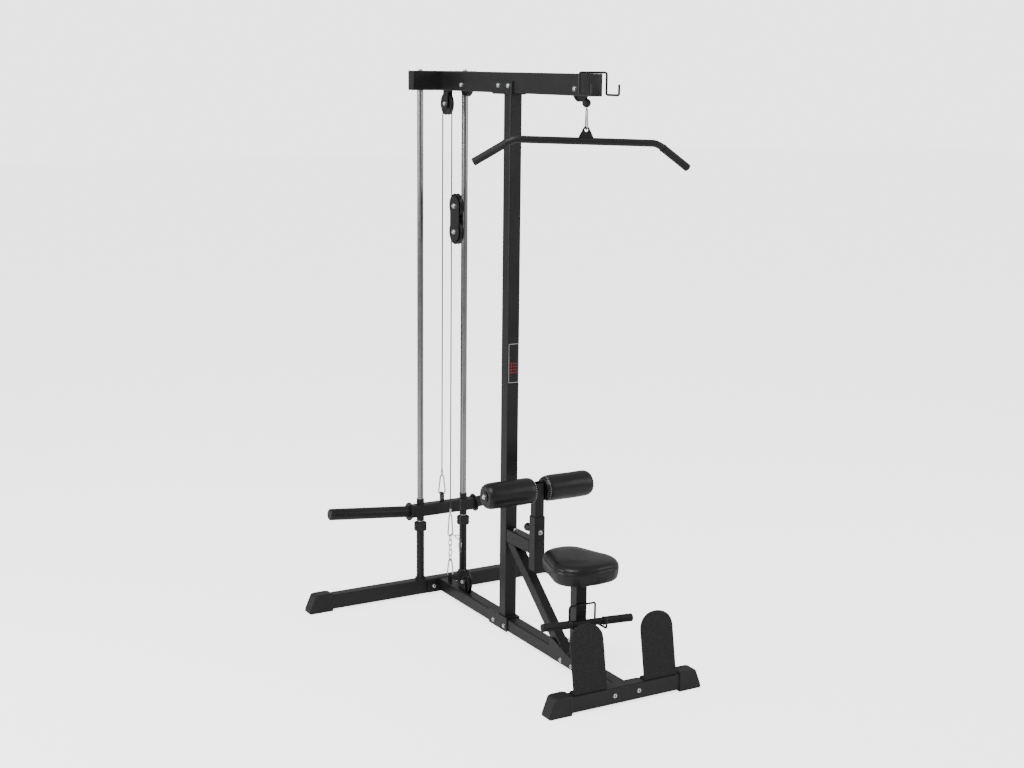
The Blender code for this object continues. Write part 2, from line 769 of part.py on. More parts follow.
CHEEK_IN = SHEAVE_THICKNESS / 2 + 0.0012
CHEEK_OUT = CHEEK_IN + 0.003


def cheeks(name, outline, centres, slot="frame_paint"):
    """Two cheek plates held apart by the axle bolts of their pulleys."""
    pair = prism(outline, "X", -CHEEK_OUT, -CHEEK_IN)
    other = prism(outline, "X", CHEEK_IN, CHEEK_OUT)
    first = True
    for centre in centres:
        pair = join(pair, axle(centre, CHEEK_OUT))
        if first:
            pair = join(pair, other)
            first = False
    return finish(pair, name, slot, (0.0, centres[0][0], centres[0][1]))


ry, rz = REAR_PULLEY
cheeks(
    "rear_pulley_bracket",
    [
        (ry - 0.022, TOP_BEAM_BOTTOM - GAP),
        (ry - 0.022, rz - 0.004),
        (ry - 0.014, rz - 0.016),
        (ry, rz - 0.020),
        (REAR_FACE_Y - 0.002, rz - 0.016),
        (REAR_FACE_Y - 0.001, rz - 0.004),
        (REAR_FACE_Y - 0.001, TOP_BEAM_BOTTOM - GAP),
    ],
    [REAR_PULLEY],
)


def pedestal(centre, half_foot, half_head):
    """Outline of a cheek plate standing on the base beam round a pulley axle."""
    y, z = centre
    foot = BASE_TOP + GAP
    return [
        (y - half_foot, foot),
        (y + half_foot, foot),
        (y + half_foot, foot + 0.010),
        (y + half_head, z + 0.004),
        (y + half_head * 0.6, z + half_head),
        (y - half_head * 0.6, z + half_head),
        (y - half_head, z + 0.004),
        (y - half_foot, foot + 0.010),
    ]


cheeks("row_rear_bracket", pedestal(ROW_REAR, 0.026, 0.018), [ROW_REAR])
cheeks("row_front_bracket", pedestal(ROW_FRONT, 0.024, 0.015), [ROW_FRONT])

block_outline = []
for centre, start in ((BLOCK_UPPER, 0.0), (BLOCK_LOWER, 180.0)):
    for step in range(9):
        angle = math.radians(start - 28.0 + 236.0 * step / 8)
        y = centre[0] + 0.040 * math.cos(angle)
        z = centre[1] + 0.040 * math.sin(angle)
        block_outline.append((y, z))
cheeks("block_bracket", block_outline, [BLOCK_UPPER, BLOCK_LOWER])

# --- cables -----------------------------------------------------------------------

ROW_ORIGIN = (0.0, ROW_BAR_Y, ROW_BAR_Z)
ROW_HOLE = Vector((0.0, 0.0, -LAT_BAR_RADIUS - 0.0195))
row_frame = (
    Matrix.Translation(Vector(ROW_ORIGIN))
    @ Matrix.Rotation(ROW_BAR_YAW, 4, "Z")
    @ Matrix.Rotation(-ROW_BAR_SPIN, 4, "X")
)
row_eye = row_frame @ ROW_HOLE
eye_span = math.hypot(row_eye.y - ROW_FRONT[0], row_eye.z - ROW_FRONT[1])
eye_angle = math.atan2(row_eye.z - ROW_FRONT[1], row_eye.y - ROW_FRONT[0])
ROW_LEAVE = eye_angle + math.acos(SMALL_GROOVE / eye_span)
row_leave_point = Vector(
    (
        0.0,
        ROW_FRONT[0] + SMALL_GROOVE * math.cos(ROW_LEAVE),
        ROW_FRONT[1] + SMALL_GROOVE * math.sin(ROW_LEAVE),
    )
)

LOOP_TOP = REAR_PULLEY[1]
lat_run = arc(FRONT_PULLEY, SMALL_GROOVE, 180.0, 90.0, 6)
lat_run += arc(MIDDLE_PULLEY, SMALL_GROOVE, 90.0, 0.0, 6)
lat_run += [(0.0, BLOCK_FRONT_Y, LOOP_TOP + GAP)]
finish(rod(lat_run, CABLE_RADIUS), "lat_cable_run", "cable")

BLOCK_ORIGIN = (0.0, BLOCK_Y, BLOCK_Z)
lat_loop = [(0.0, BLOCK_FRONT_Y, LOOP_TOP - GAP)]
lat_loop += arc(BLOCK_UPPER, LARGE_GROOVE, 180.0, 360.0, 12)
lat_loop += [(0.0, BLOCK_REAR_Y, LOOP_TOP - GAP)]
finish(rod(lat_loop, CABLE_RADIUS), "lat_cable_loop", "cable", BLOCK_ORIGIN)

lat_end = arc(REAR_PULLEY, REAR_PULLEY_GROOVE, 180.0, 0.0, 12)
finish(rod(lat_end, CABLE_RADIUS), "lat_cable_end", "cable")

CABLE_EYE_Z = 0.352
row_loop = [(0.0, BLOCK_REAR_Y, CABLE_EYE_Z)]
row_loop += arc(BLOCK_LOWER, LARGE_GROOVE, 0.0, 180.0, 12)
row_loop += [(0.0, BLOCK_FRONT_Y, CABLE_EYE_Z)]
finish(rod(row_loop, CABLE_RADIUS), "row_cable_loop", "cable", BLOCK_ORIGIN)

row_run = [(0.0, BLOCK_FRONT_Y, CABLE_EYE_Z - GAP)]
row_run += arc(ROW_REAR, LARGE_GROOVE, 0.0, -90.0, 6)
row_run += arc(ROW_FRONT, SMALL_GROOVE, 270.0, math.degrees(ROW_LEAVE), 9)
finish(rod(row_run, CABLE_RADIUS), "row_cable_run", "cable")

CARRIAGE_CLIP_TOP = 0.5017
finish(
    rod(
        [(0.0, ROD_Y, CARRIAGE_CLIP_TOP + GAP), (0.0, ROD_Y, REAR_PULLEY[1] - GAP)],
        CABLE_RADIUS,
    ),
    "carriage_cable",
    "cable",
    (0.0, ROD_Y, CARRIAGE_CLIP_TOP),
)

# --- lat bar with its snap hook and rubber stop ball --------------------------------

BALL_RADIUS = 0.0155
SHEAVE_RIM = SMALL_GROOVE + RIM
ball_reach = SHEAVE_RIM + BALL_RADIUS + GAP
BALL_Z = FRONT_PULLEY[1] - math.sqrt(ball_reach ** 2 - SMALL_GROOVE ** 2)
ball_profile = []
for step in range(7):
    angle = math.radians(-78.0 + 156.0 * step / 6)
    ball_profile.append((BALL_RADIUS * math.cos(angle), BALL_RADIUS * math.sin(angle)))
bore = CABLE_RADIUS + GAP
ball_profile = [(bore, ball_profile[0][1])] + ball_profile + [(bore, ball_profile[-1][1])]
LAT_ORIGIN = (0.0, LAT_DROP_Y, LAT_BAR_Z)
finish(
    lathe(ball_profile, "Z", (0.0, LAT_DROP_Y, BALL_Z), 20),
    "cable_stop_ball",
    "rubber",
    LAT_ORIGIN,
)

LAT_CLIP_TOP = BALL_Z - BALL_RADIUS - 0.0008
finish(
    rod(
        [
            (0.0, LAT_DROP_Y, LAT_CLIP_TOP + GAP),
            (0.0, LAT_DROP_Y, FRONT_PULLEY[1] - GAP),
        ],
        CABLE_RADIUS,
    ),
    "lat_cable_drop",
    "cable",
    LAT_ORIGIN,
)

bar_frame = (
    Matrix.Translation(Vector(LAT_ORIGIN))
    @ Matrix.Rotation(LAT_BAR_YAW, 4, "Z")
    @ Matrix.Rotation(LAT_BAR_TILT, 4, "Y")
)
spin = Matrix.Rotation(LAT_BAR_SPIN, 4, "X")


def bar_side(side, start, end):
    """Path along one half of the lat bar, measured from its middle."""
    path = []
    reach = LAT_BAR_HALF
    bend = 0.020
    spots = [0.0, reach - bend]
    spots += [reach - bend + 2 * bend * step / 4 for step in range(1, 5)]
    spots += [reach + LAT_BAR_END]
    for spot in spots:
        if spot <= reach - bend:
            flat = Vector((spot, 0.0, 0.0))
        elif spot >= reach + bend:
            along = spot - reach
            flat = Vector((reach + along * math.cos(LAT_BAR_BEND), 0.0, -along * math.sin(LAT_BAR_BEND)))
        else:
            share = (spot - reach + bend) / (2 * bend)
            down = bend * math.sin(LAT_BAR_BEND) * share ** 2
            along = reach - bend + (bend + bend * math.cos(LAT_BAR_BEND)) * share
            flat = Vector((along, 0.0, -down))
        if start <= spot <= end:
            flat.x *= side
            path.append((bar_frame @ spin @ flat)[:])
    return path


full = LAT_BAR_HALF + LAT_BAR_END
left_half = bar_side(-1.0, 0.001, full)
lat_path = list(reversed(left_half)) + bar_side(1.0, 0.0, full)
lat_bar = rod(lat_path, LAT_BAR_RADIUS, 6)
lug_hole = Vector((0.0, 0.0, LAT_BAR_RADIUS + 0.0255))
lug_outline = [
    (-0.025, LAT_BAR_RADIUS - 0.004),
    (0.025, LAT_BAR_RADIUS - 0.004),
    (0.025, LAT_BAR_RADIUS + 0.003),
    (0.0095, LAT_BAR_RADIUS + 0.033),
    (0.005, LAT_BAR_RADIUS + 0.037),
    (-0.005, LAT_BAR_RADIUS + 0.037),
    (-0.0095, LAT_BAR_RADIUS + 0.033),
    (-0.025, LAT_BAR_RADIUS + 0.003),
]
lat_lug = prism(lug_outline, "Y", -0.003, 0.003)
lat_lug = cut(lat_lug, cylinder(EYE_RADIUS, "Y", lug_hole, -0.010, 0.010, 16))
lat_lug.data.transform(bar_frame)
finish(join(lat_bar, lat_lug), "lat_bar", "frame_paint", LAT_ORIGIN)


def snap_hook(name, frame, length, half_width, origin=(0.0, 0.0, 0.0)):
    """Pear-shaped snap hook: wide end at the frame's origin, narrow end up its Z."""
    height = length - 2 * CLIP_RADIUS
    wide = half_width - CLIP_RADIUS
    narrow = wide * 0.5
    path = []
    for step in range(7):
        angle = math.radians(180.0 + 180.0 * step / 6)
        path.append((wide * math.cos(angle), wide + wide * math.sin(angle)))
    for step in range(7):
        angle = math.radians(180.0 * step / 6)
        path.append((narrow * math.cos(angle), height - narrow + narrow * math.sin(angle)))
    spots = [(frame @ Vector((across, 0.0, CLIP_RADIUS + up)))[:] for across, up in path]
    finish(rod(spots, CLIP_RADIUS, 1, True), name, "zinc", origin)


QUARTER_TURN = Matrix.Rotation(math.radians(90.0), 4, "Z")
HOOK_SEAT = EYE_RADIUS - 2 * CLIP_RADIUS - 0.0008
hole_point = bar_frame @ lug_hole
lat_clip_foot = hole_point.z + HOOK_SEAT
snap_hook(
    "lat_snap_hook",
    Matrix.Translation(Vector((hole_point.x, hole_point.y, lat_clip_foot)))
    @ Matrix.Rotation(LAT_BAR_YAW, 4, "Z")
    @ QUARTER_TURN,
    LAT_CLIP_TOP - lat_clip_foot,
    0.016,
    LAT_ORIGIN,
)
carriage_clip_foot = LUG_HOLE_Z + HOOK_SEAT
snap_hook(
    "carriage_snap_hook",
    Matrix.Translation(Vector((0.0, ROD_Y, carriage_clip_foot))),
    CARRIAGE_CLIP_TOP - carriage_clip_foot,
    0.018,
    CARRIAGE_ORIGIN,
)

# --- anchor chain of the row cable ---------------------------------------------------

LINK_WIRE = 0.002
LINK_HALF_WIDTH = 0.0085
LINK_HALF_HEIGHT = 0.0145
LINK_COUNT = 5
LINK_PITCH = 2 * (LINK_HALF_HEIGHT - 2 * LINK_WIRE) + 0.0006
CHAIN_FOOT_Z = 0.150
CHAIN_REACH = CHAIN_FOOT_Z + 2 * LINK_HALF_HEIGHT + (LINK_COUNT - 1) * LINK_PITCH
links = []
for index in range(LINK_COUNT):
    plane = "YZ" if index % 2 == 0 else "XZ"
    centre = (0.0, BLOCK_REAR_Y, CHAIN_FOOT_Z + LINK_HALF_HEIGHT + LINK_PITCH * index)
    path = ring_path(centre, LINK_HALF_WIDTH - LINK_WIRE, LINK_HALF_HEIGHT - LINK_WIRE, plane)
    links.append(rod(path, LINK_WIRE, 1, True))
finish(join(links[0], *links[1:]), "anchor_chain", "zinc")
anchor_clip_foot = ANCHOR_HOLE_Z + HOOK_SEAT
anchor_clip_top = CHAIN_FOOT_Z + 2 * LINK_WIRE + 2 * CLIP_RADIUS + GAP
snap_hook(
    "anchor_snap_hook",
    Matrix.Translation(Vector((0.0, BLOCK_REAR_Y, anchor_clip_foot))),
    anchor_clip_top - anchor_clip_foot,
    0.016,
)
cable_clip_foot = CHAIN_REACH - 2 * LINK_WIRE - 2 * CLIP_RADIUS - GAP
snap_hook(
    "cable_snap_hook",
    Matrix.Translation(Vector((0.0, BLOCK_REAR_Y, cable_clip_foot))),
    CABLE_EYE_Z - GAP - cable_clip_foot,
    0.014,
)

# --- diagonal brace, roller sleeve with its strut, and the height pin ------------------

BRACE_SIDE = 0.040
BRACE_SLOPE = math.radians(40.0)
BRACE_HEAD_Z = 0.389
brace_half = BRACE_SIDE / 2 / math.cos(BRACE_SLOPE)
foot_half = BRACE_SIDE / 2 / math.sin(BRACE_SLOPE)
foot_y = -(BRACE_HEAD_Z - BASE_TOP) / math.tan(BRACE_SLOPE)
under_y = -(BRACE_HEAD_Z - STRUT_BOTTOM) / math.tan(BRACE_SLOPE)
brace = prism(
    [
        (-GAP, BRACE_HEAD_Z - brace_half),
        (-GAP, STRUT_BOTTOM - GAP),
        (under_y - foot_half, STRUT_BOTTOM - GAP),
        (foot_y - foot_half, BASE_TOP + GAP),
        (foot_y + foot_half, BASE_TOP + GAP),
    ],
    "X",
    -BRACE_SIDE / 2,
    BRACE_SIDE / 2,
)
bevel = brace.modifiers.new("ease", "BEVEL")
bevel.width = 0.003
bevel.segments = 2
bevel.limit_method = "ANGLE"
bevel.angle_limit = math.radians(80.0)
core_half = BRACE_SIDE / 2 - WALL
core_rise = core_half / math.cos(BRACE_SLOPE)
core_outline = []
for core_y, first in ((0.050, -1.0), (foot_y - 0.100, 1.0)):
    core_z = BRACE_HEAD_Z + core_y * math.tan(BRACE_SLOPE)
    core_outline.append((core_y, core_z + first * core_rise))
    core_outline.append((core_y, core_z - first * core_rise))
brace = cut(brace, prism(core_outline, "X", -core_half, core_half))
finish(brace, "diagonal_brace", "frame_paint")

SLEEVE_REAR = ROLLER_SLEEVE_FRONT + ROLLER_SLEEVE_SIDE
HALF_SLEEVE = ROLLER_SLEEVE_SIDE / 2
STRUT_SUNK = 0.001
strut = hollow(
    -HALF_SLEEVE, HALF_SLEEVE, STRUT_BOTTOM, STRUT_TOP, "Y", SLEEVE_REAR - STRUT_SUNK, -GAP
)
strut = join(strut, bolt_head("Z", (0.0, -0.030, STRUT_TOP), 1.0))

roller_sleeve = hollow(
    -HALF_SLEEVE, HALF_SLEEVE, ROLLER_SLEEVE_FRONT, SLEEVE_REAR, "Z", 0.310, 0.518
)
roller_sleeve = join(roller_sleeve, strut)
pin_hole = cylinder(0.0055, "Y", (0.0, SLEEVE_REAR, PIN_Z), -0.012, 0.012, 20)
roller_sleeve = cut(roller_sleeve, pin_hole)
roller_sleeve = join(
    roller_sleeve, bolt_head("Y", (0.0, ROLLER_SLEEVE_FRONT, PIN_Z), -1.0, sunk=0.001)
)
collar = lathe(
    [(0.0055, -0.001), (0.0105, -0.001), (0.0105, 0.010), (0.009, 0.012), (0.0055, 0.012)],
    "Y",
    (0.0, SLEEVE_REAR, PIN_Z),
    20,
)
finish(join(roller_sleeve, collar), "roller_sleeve", "frame_paint")

PIN_RADIUS = 0.005
PIN_PARKED = 0.007
PIN_ORIGIN = (0.0, SLEEVE_REAR + 0.012 + PIN_PARKED, PIN_Z)
pin = lathe(
    [
        (0.0, -WALL),
        (PIN_RADIUS - 0.001, -WALL),
        (PIN_RADIUS, 0.001 - WALL),
        (PIN_RADIUS, PIN_PARKED + 0.0135),
        (0.010, PIN_PARKED + 0.0145),
        (0.0125, PIN_PARKED + 0.020),
        (0.0145, PIN_PARKED + 0.027),
        (0.0160, PIN_PARKED + 0.036),
        (0.0150, PIN_PARKED + 0.043),
        (0.010, PIN_PARKED + 0.047),
        (0.0, PIN_PARKED + 0.048),
    ],
    "Y",
    (0.0, SLEEVE_REAR, PIN_Z),
    24,
)
finish(pin, "adjuster_pin", "nylon", PIN_ORIGIN)

# --- sliding roller post and the two foam rollers ---------------------------------------

HALF_POST = ROLLER_POST_SIDE / 2
POST_BOTTOM = PIN_Z - 4 * PIN_PITCH - 0.020
roller_post = hollow(
    -HALF_POST,
    HALF_POST,
    ROLLER_Y - HALF_POST,
    ROLLER_Y + HALF_POST,
    "Z",
    POST_BOTTOM,
    ROLLER_Z + 0.026,
    0.003,
)
for index in range(-1, 5):
    hole = cylinder(
        PIN_RADIUS + 0.0006,
        "Y",
        (0.0, ROLLER_Y + HALF_POST, PIN_Z - PIN_PITCH * index),
        -0.006,
        0.006,
        12,
    )
    roller_post = cut(roller_post, hole)
ROLLER_START = HALF_POST + 0.0025
ROLLER_END = ROLLER_START + ROLLER_LENGTH
ROLLER_CENTRE = (0.0, ROLLER_Y, ROLLER_Z)
crossbar = lathe(
    [
        (0.0, -ROLLER_END - 0.0040),
        (0.0060, -ROLLER_END - 0.0035),
        (0.0080, -ROLLER_END - 0.0015),
        (0.0200, -ROLLER_END - 0.0015),
        (0.0200, -ROLLER_END - 0.0005),
        (0.0125, -ROLLER_END - 0.0005),
        (0.0125, ROLLER_END + 0.0005),
        (0.0200, ROLLER_END + 0.0005),
        (0.0200, ROLLER_END + 0.0015),
        (0.0080, ROLLER_END + 0.0015),
        (0.0060, ROLLER_END + 0.0035),
        (0.0, ROLLER_END + 0.0040),
    ],
    "X",
    ROLLER_CENTRE,
    24,
)
finish(join(roller_post, crossbar), "roller_post", "frame_paint", (0.0, ROLLER_Y, 0.518))

for side, word in ((-1.0, "left"), (1.0, "right")):
    x0, x1 = sorted((side * ROLLER_START, side * ROLLER_END))
    roller = lathe(
        [
            (0.0125 + SLIP, x0),
            (ROLLER_RADIUS - 0.010, x0),
            (ROLLER_RADIUS - 0.003, x0 + 0.004),
            (ROLLER_RADIUS, x0 + 0.014),
            (ROLLER_RADIUS, x1 - 0.014),
            (ROLLER_RADIUS - 0.003, x1 - 0.004),
            (ROLLER_RADIUS - 0.010, x1),
            (0.0125 + SLIP, x1),
        ],
        "X",
        ROLLER_CENTRE,
        32,
    )
    finish(roller, "thigh_roller_" + word, "upholstery", ROLLER_CENTRE)

# --- seat post and padded seat -------------------------------------------------------------

HALF_SEAT_POST = SEAT_POST_SIDE / 2
seat_post = hollow(
    -HALF_SEAT_POST,
    HALF_SEAT_POST,
    SEAT_POST_FRONT,
    SEAT_POST_FRONT + SEAT_POST_SIDE,
    "Z",
    BASE_TOP + GAP,
    SEAT_BOTTOM - GAP,
)
for side in (-1.0, 1.0):
    head = bolt_head("X", (side * HALF_SEAT_POST, -0.470, 0.127), side, sunk=0.001)
    seat_post = join(seat_post, head)
finish(seat_post, "seat_post", "frame_paint")


def seat_outline(inset):
    """Half-moon fronted seat outline, symmetric about x = 0."""
    corner = 0.085 - inset * 0.5
    rear_corner = 0.070 - inset * 0.5
    front = SEAT_FRONT_Y + inset
    rear = SEAT_REAR_Y - inset
    half_front = SEAT_HALF_FRONT - inset
    half_rear = SEAT_HALF_REAR - inset
    right = []
    for step in range(6):
        angle = math.radians(-90.0 + 100.0 * step / 5)
        x = half_front - corner + corner * math.cos(angle)
        y = front + 0.004 + corner + corner * math.sin(angle)
        right.append((x, y))
    for step in range(6):
        angle = math.radians(10.0 + 80.0 * step / 5)
        x = half_rear - rear_corner + rear_corner * math.cos(angle)
        y = rear - rear_corner + rear_corner * math.sin(angle)
        right.append((x, y))
    left = [(-x, y) for x, y in reversed(right)]
    return right + left + [(0.0, front)]


bm = bmesh.new()
rings = []
levels = (
    (0.0, 0.012),
    (0.010, 0.003),
    (0.045, 0.000),
    (0.058, 0.001),
    (0.070, 0.008),
    (0.078, 0.022),
    (SEAT_THICKNESS, 0.045),
)
for level, inset in levels:
    ring = []
    for x, y in seat_outline(inset):
        ring.append(bm.verts.new((x, y, SEAT_BOTTOM + level)))
    rings.append(ring)
bm.faces.new(rings[0])
bm.faces.new(rings[-1])
for first, second in zip(rings, rings[1:]):
    for index in range(len(first)):
        after = (index + 1) % len(first)
        bm.faces.new((first[index], first[after], second[after], second[index]))
finish(to_object(bm), "seat_pad", "upholstery")

# --- foot rests --------------------------------------------------------------------------------

for side, word in ((-1.0, "left"), (1.0, "right")):
    x0 = side * FOOTREST_X - FOOTREST_WIDTH / 2
    x1 = x0 + FOOTREST_WIDTH
    outline = [(x0, 0.0), (x1, 0.0)]
    round_top = 0.060
    for centre_x, start in ((x1 - round_top, 0.0), (x0 + round_top, 90.0)):
        for step in range(8):
            angle = math.radians(start + 90.0 * step / 7)
            x = centre_x + round_top * math.cos(angle)
            outline.append((x, FOOTREST_HEIGHT - round_top + round_top * math.sin(angle)))
    rest = prism(outline, "Y", 0.0, 0.008)
    lean = Matrix.Rotation(-FOOTREST_LEAN, 4, "X")
    hinge_line = Vector((0.0, FRONT_FACE_Y + 0.004, CROSSBEAM_TOP + GAP + 0.0016))
    rest.data.transform(Matrix.Translation(hinge_line) @ lean)
    foot_plate = box(
        x0 + 0.004,
        x1 - 0.004,
        FRONT_FACE_Y + 0.006,
        FRONT_FACE_Y + CROSSBEAM_DEPTH - 0.002,
        CROSSBEAM_TOP + GAP,
        CROSSBEAM_TOP + GAP + PLATE,
    )
    rest = join(rest, foot_plate)
    finish(rest, "footrest_" + word, "frame_paint")

# --- bar hooks --------------------------------------------------------------------------------

def bar_hook(name, cross_z, bottom_z, tip_z):
    """Bent rod hook: a bridge, two down legs, and two open J ends to the front."""
    path = []
    turn = 0.006
    legs = []
    for side in (-1.0, 1.0):
        x = side * HOOK_HALF
        leg = [
            (x, HOOK_UP_Y, tip_z),
            (x, HOOK_UP_Y, bottom_z + turn),
            (x, HOOK_UP_Y + turn * 0.3, bottom_z + turn * 0.3),
            (x, HOOK_UP_Y + turn, bottom_z),
            (x, HOOK_DOWN_Y - turn, bottom_z),
            (x, HOOK_DOWN_Y - turn * 0.3, bottom_z + turn * 0.3),
            (x, HOOK_DOWN_Y, bottom_z + turn),
            (x, HOOK_DOWN_Y, cross_z - turn),
            (x - side * turn * 0.3, HOOK_DOWN_Y, cross_z - turn * 0.3),
            (x - side * turn, HOOK_DOWN_Y, cross_z),
        ]
        legs.append(leg)
    path = legs[0] + list(reversed(legs[1]))
    finish(rod(path, HOOK_RADIUS, 2), name, "frame_paint")


TOP_HOOK_Z = HEIGHT + HOOK_RADIUS + GAP
bar_hook("top_bar_hook", TOP_HOOK_Z, TOP_HOOK_Z - HOOK_DROP, TOP_HOOK_Z - HOOK_DROP + 0.036)
bar_hook("low_bar_hook", LOW_HOOK_Z, LOW_HOOK_BOTTOM, LOW_HOOK_BOTTOM + 0.036)

# --- row bar, resting in the low hook -------------------------------------------------------------

row_bar = cylinder(LAT_BAR_RADIUS, "X", (0.0, 0.0, 0.0), -ROW_BAR_HALF, ROW_BAR_HALF, 20, 0.001)
row_lug = prism([(x * 0.8, -z * 0.85) for x, z in lug_outline], "Y", -0.003, 0.003)
row_lug = cut(row_lug, cylinder(EYE_RADIUS + SLIP, "Y", ROW_HOLE, -0.010, 0.010, 16))
row_bar = join(row_bar, row_lug)
row_bar.data.transform(row_frame)
finish(row_bar, "row_bar", "frame_paint", ROW_ORIGIN)

pull = row_leave_point - row_eye
pull_frame = pull.to_track_quat("Z", "Y").to_matrix().to_4x4()
ROW_CLIP_LENGTH = 0.056
row_clip_foot = row_eye + pull.normalized() * HOOK_SEAT
snap_hook(
    "row_snap_hook",
    Matrix.Translation(row_clip_foot) @ pull_frame @ QUARTER_TURN,
    ROW_CLIP_LENGTH,
    0.014,
    ROW_ORIGIN,
)
cable_start = row_clip_foot + pull.normalized() * (ROW_CLIP_LENGTH + GAP)
cable_end = row_leave_point - pull.normalized() * 0.0012
finish(rod([cable_start[:], cable_end[:]], CABLE_RADIUS), "row_cable_drop", "cable", ROW_ORIGIN)
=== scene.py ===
import math

import bmesh
import bpy
from mathutils import Matrix, Vector


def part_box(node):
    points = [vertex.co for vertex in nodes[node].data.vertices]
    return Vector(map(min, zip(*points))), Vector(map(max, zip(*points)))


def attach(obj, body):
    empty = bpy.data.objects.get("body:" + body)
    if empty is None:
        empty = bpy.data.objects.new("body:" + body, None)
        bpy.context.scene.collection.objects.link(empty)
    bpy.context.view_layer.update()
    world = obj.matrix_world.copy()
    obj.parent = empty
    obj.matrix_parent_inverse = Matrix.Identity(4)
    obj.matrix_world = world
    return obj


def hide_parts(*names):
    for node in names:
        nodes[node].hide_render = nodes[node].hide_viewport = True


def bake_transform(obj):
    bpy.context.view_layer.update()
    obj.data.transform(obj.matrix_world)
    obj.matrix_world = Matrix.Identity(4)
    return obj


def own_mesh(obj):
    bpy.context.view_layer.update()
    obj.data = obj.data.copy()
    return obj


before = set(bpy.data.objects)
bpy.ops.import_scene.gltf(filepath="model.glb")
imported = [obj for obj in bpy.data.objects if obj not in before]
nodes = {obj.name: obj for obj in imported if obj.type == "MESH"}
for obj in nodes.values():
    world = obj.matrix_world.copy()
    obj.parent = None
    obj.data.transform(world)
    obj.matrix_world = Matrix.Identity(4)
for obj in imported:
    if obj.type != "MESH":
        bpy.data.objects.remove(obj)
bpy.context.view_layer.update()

# Studio: a wide pale floor, a large soft light overhead to the left, a fill from
# the right and a pale surround. The floor and the surround are brighter to the camera
# than the light they give, so the backdrop is pale while the steel stays dark.
FLOOR_GLOW = 2.4
SURROUND_LIGHT = 0.55
SURROUND_GLOW = 2.5
camera_data = bpy.data.cameras.new("studio camera")
camera_data.lens = 56.377
camera_data.sensor_width = 36.0
camera = bpy.data.objects.new("studio camera", camera_data)
bpy.context.scene.collection.objects.link(camera)
turn = math.radians(30.15)
dip = math.radians(11.29)
tilt = math.radians(0.635)
ahead = Vector(
    (math.sin(turn) * math.cos(dip), math.cos(turn) * math.cos(dip), -math.sin(dip))
)
across = Vector((math.cos(turn), -math.sin(turn), 0.0))
above = across.cross(ahead)
side_axis = across * math.cos(tilt) + above * math.sin(tilt)
up_axis = above * math.cos(tilt) - across * math.sin(tilt)
camera.matrix_world = Matrix.Translation((-2.9825, -5.0281, 2.1698)) @ Matrix(
    (side_axis, up_axis, -ahead)
).transposed().to_4x4()
bpy.context.scene.camera = camera

bpy.ops.object.select_all(action="DESELECT")
bpy.ops.mesh.primitive_plane_add(size=60.0, location=(0.0, 0.0, -0.0004))
floor = bpy.context.object
floor.name = "studio_floor"
floor_paint = bpy.data.materials.new("studio floor")
floor_paint.use_nodes = True
floor_shader = floor_paint.node_tree.nodes["Principled BSDF"]
floor_shader.inputs["Base Color"].default_value = (0.95, 0.95, 0.95, 1.0)
floor_shader.inputs["Roughness"].default_value = 0.55
floor_shader.inputs["Emission Color"].default_value = (1.0, 1.0, 1.0, 1.0)
floor_sight = floor_paint.node_tree.nodes.new("ShaderNodeLightPath")
floor_glow = floor_paint.node_tree.nodes.new("ShaderNodeMath")
floor_glow.operation = "MULTIPLY"
floor_glow.inputs[1].default_value = FLOOR_GLOW
floor_paint.node_tree.links.new(floor_sight.outputs["Is Camera Ray"], floor_glow.inputs[0])
floor_paint.node_tree.links.new(floor_glow.outputs[0], floor_shader.inputs["Emission Strength"])
floor.data.materials.append(floor_paint)

surround = bpy.data.worlds.new("studio surround")
surround.use_nodes = True
backdrop = surround.node_tree.nodes["Background"]
backdrop.inputs["Color"].default_value = (1.0, 1.0, 1.0, 1.0)
sight = surround.node_tree.nodes.new("ShaderNodeLightPath")
strength = surround.node_tree.nodes.new("ShaderNodeMath")
strength.operation = "MULTIPLY_ADD"
strength.inputs[1].default_value = SURROUND_GLOW
strength.inputs[2].default_value = SURROUND_LIGHT
surround.node_tree.links.new(sight.outputs["Is Camera Ray"], strength.inputs[0])
surround.node_tree.links.new(strength.outputs[0], backdrop.inputs["Strength"])
bpy.context.scene.world = surround


def soft_light(name, place, target, size, power):
    """Square soft box aimed at a point."""
    data = bpy.data.lights.new(name, "AREA")
    data.shape = "SQUARE"
    data.size = size
    data.energy = power
    lamp = bpy.data.objects.new(name, data)
    bpy.context.scene.collection.objects.link(lamp)
    lamp.location = place
    lamp.rotation_euler = (Vector(target) - Vector(place)).to_track_quat("-Z", "Y").to_euler()


soft_light("overhead soft box", (-2.2, -1.6, 4.6), (0.0, 0.0, 0.9), 2.6, 190.0)
soft_light("left soft box", (-4.2, 0.8, 2.2), (0.0, 0.0, 1.0), 2.0, 90.0)
soft_light("right fill", (3.6, -3.0, 2.6), (0.0, 0.0, 0.9), 2.4, 60.0)

# Steel frame: square and rectangular tube, cut, welded and bolted, in a black
# powder coat with a fine orange-peel texture that is slightly uneven in gloss.


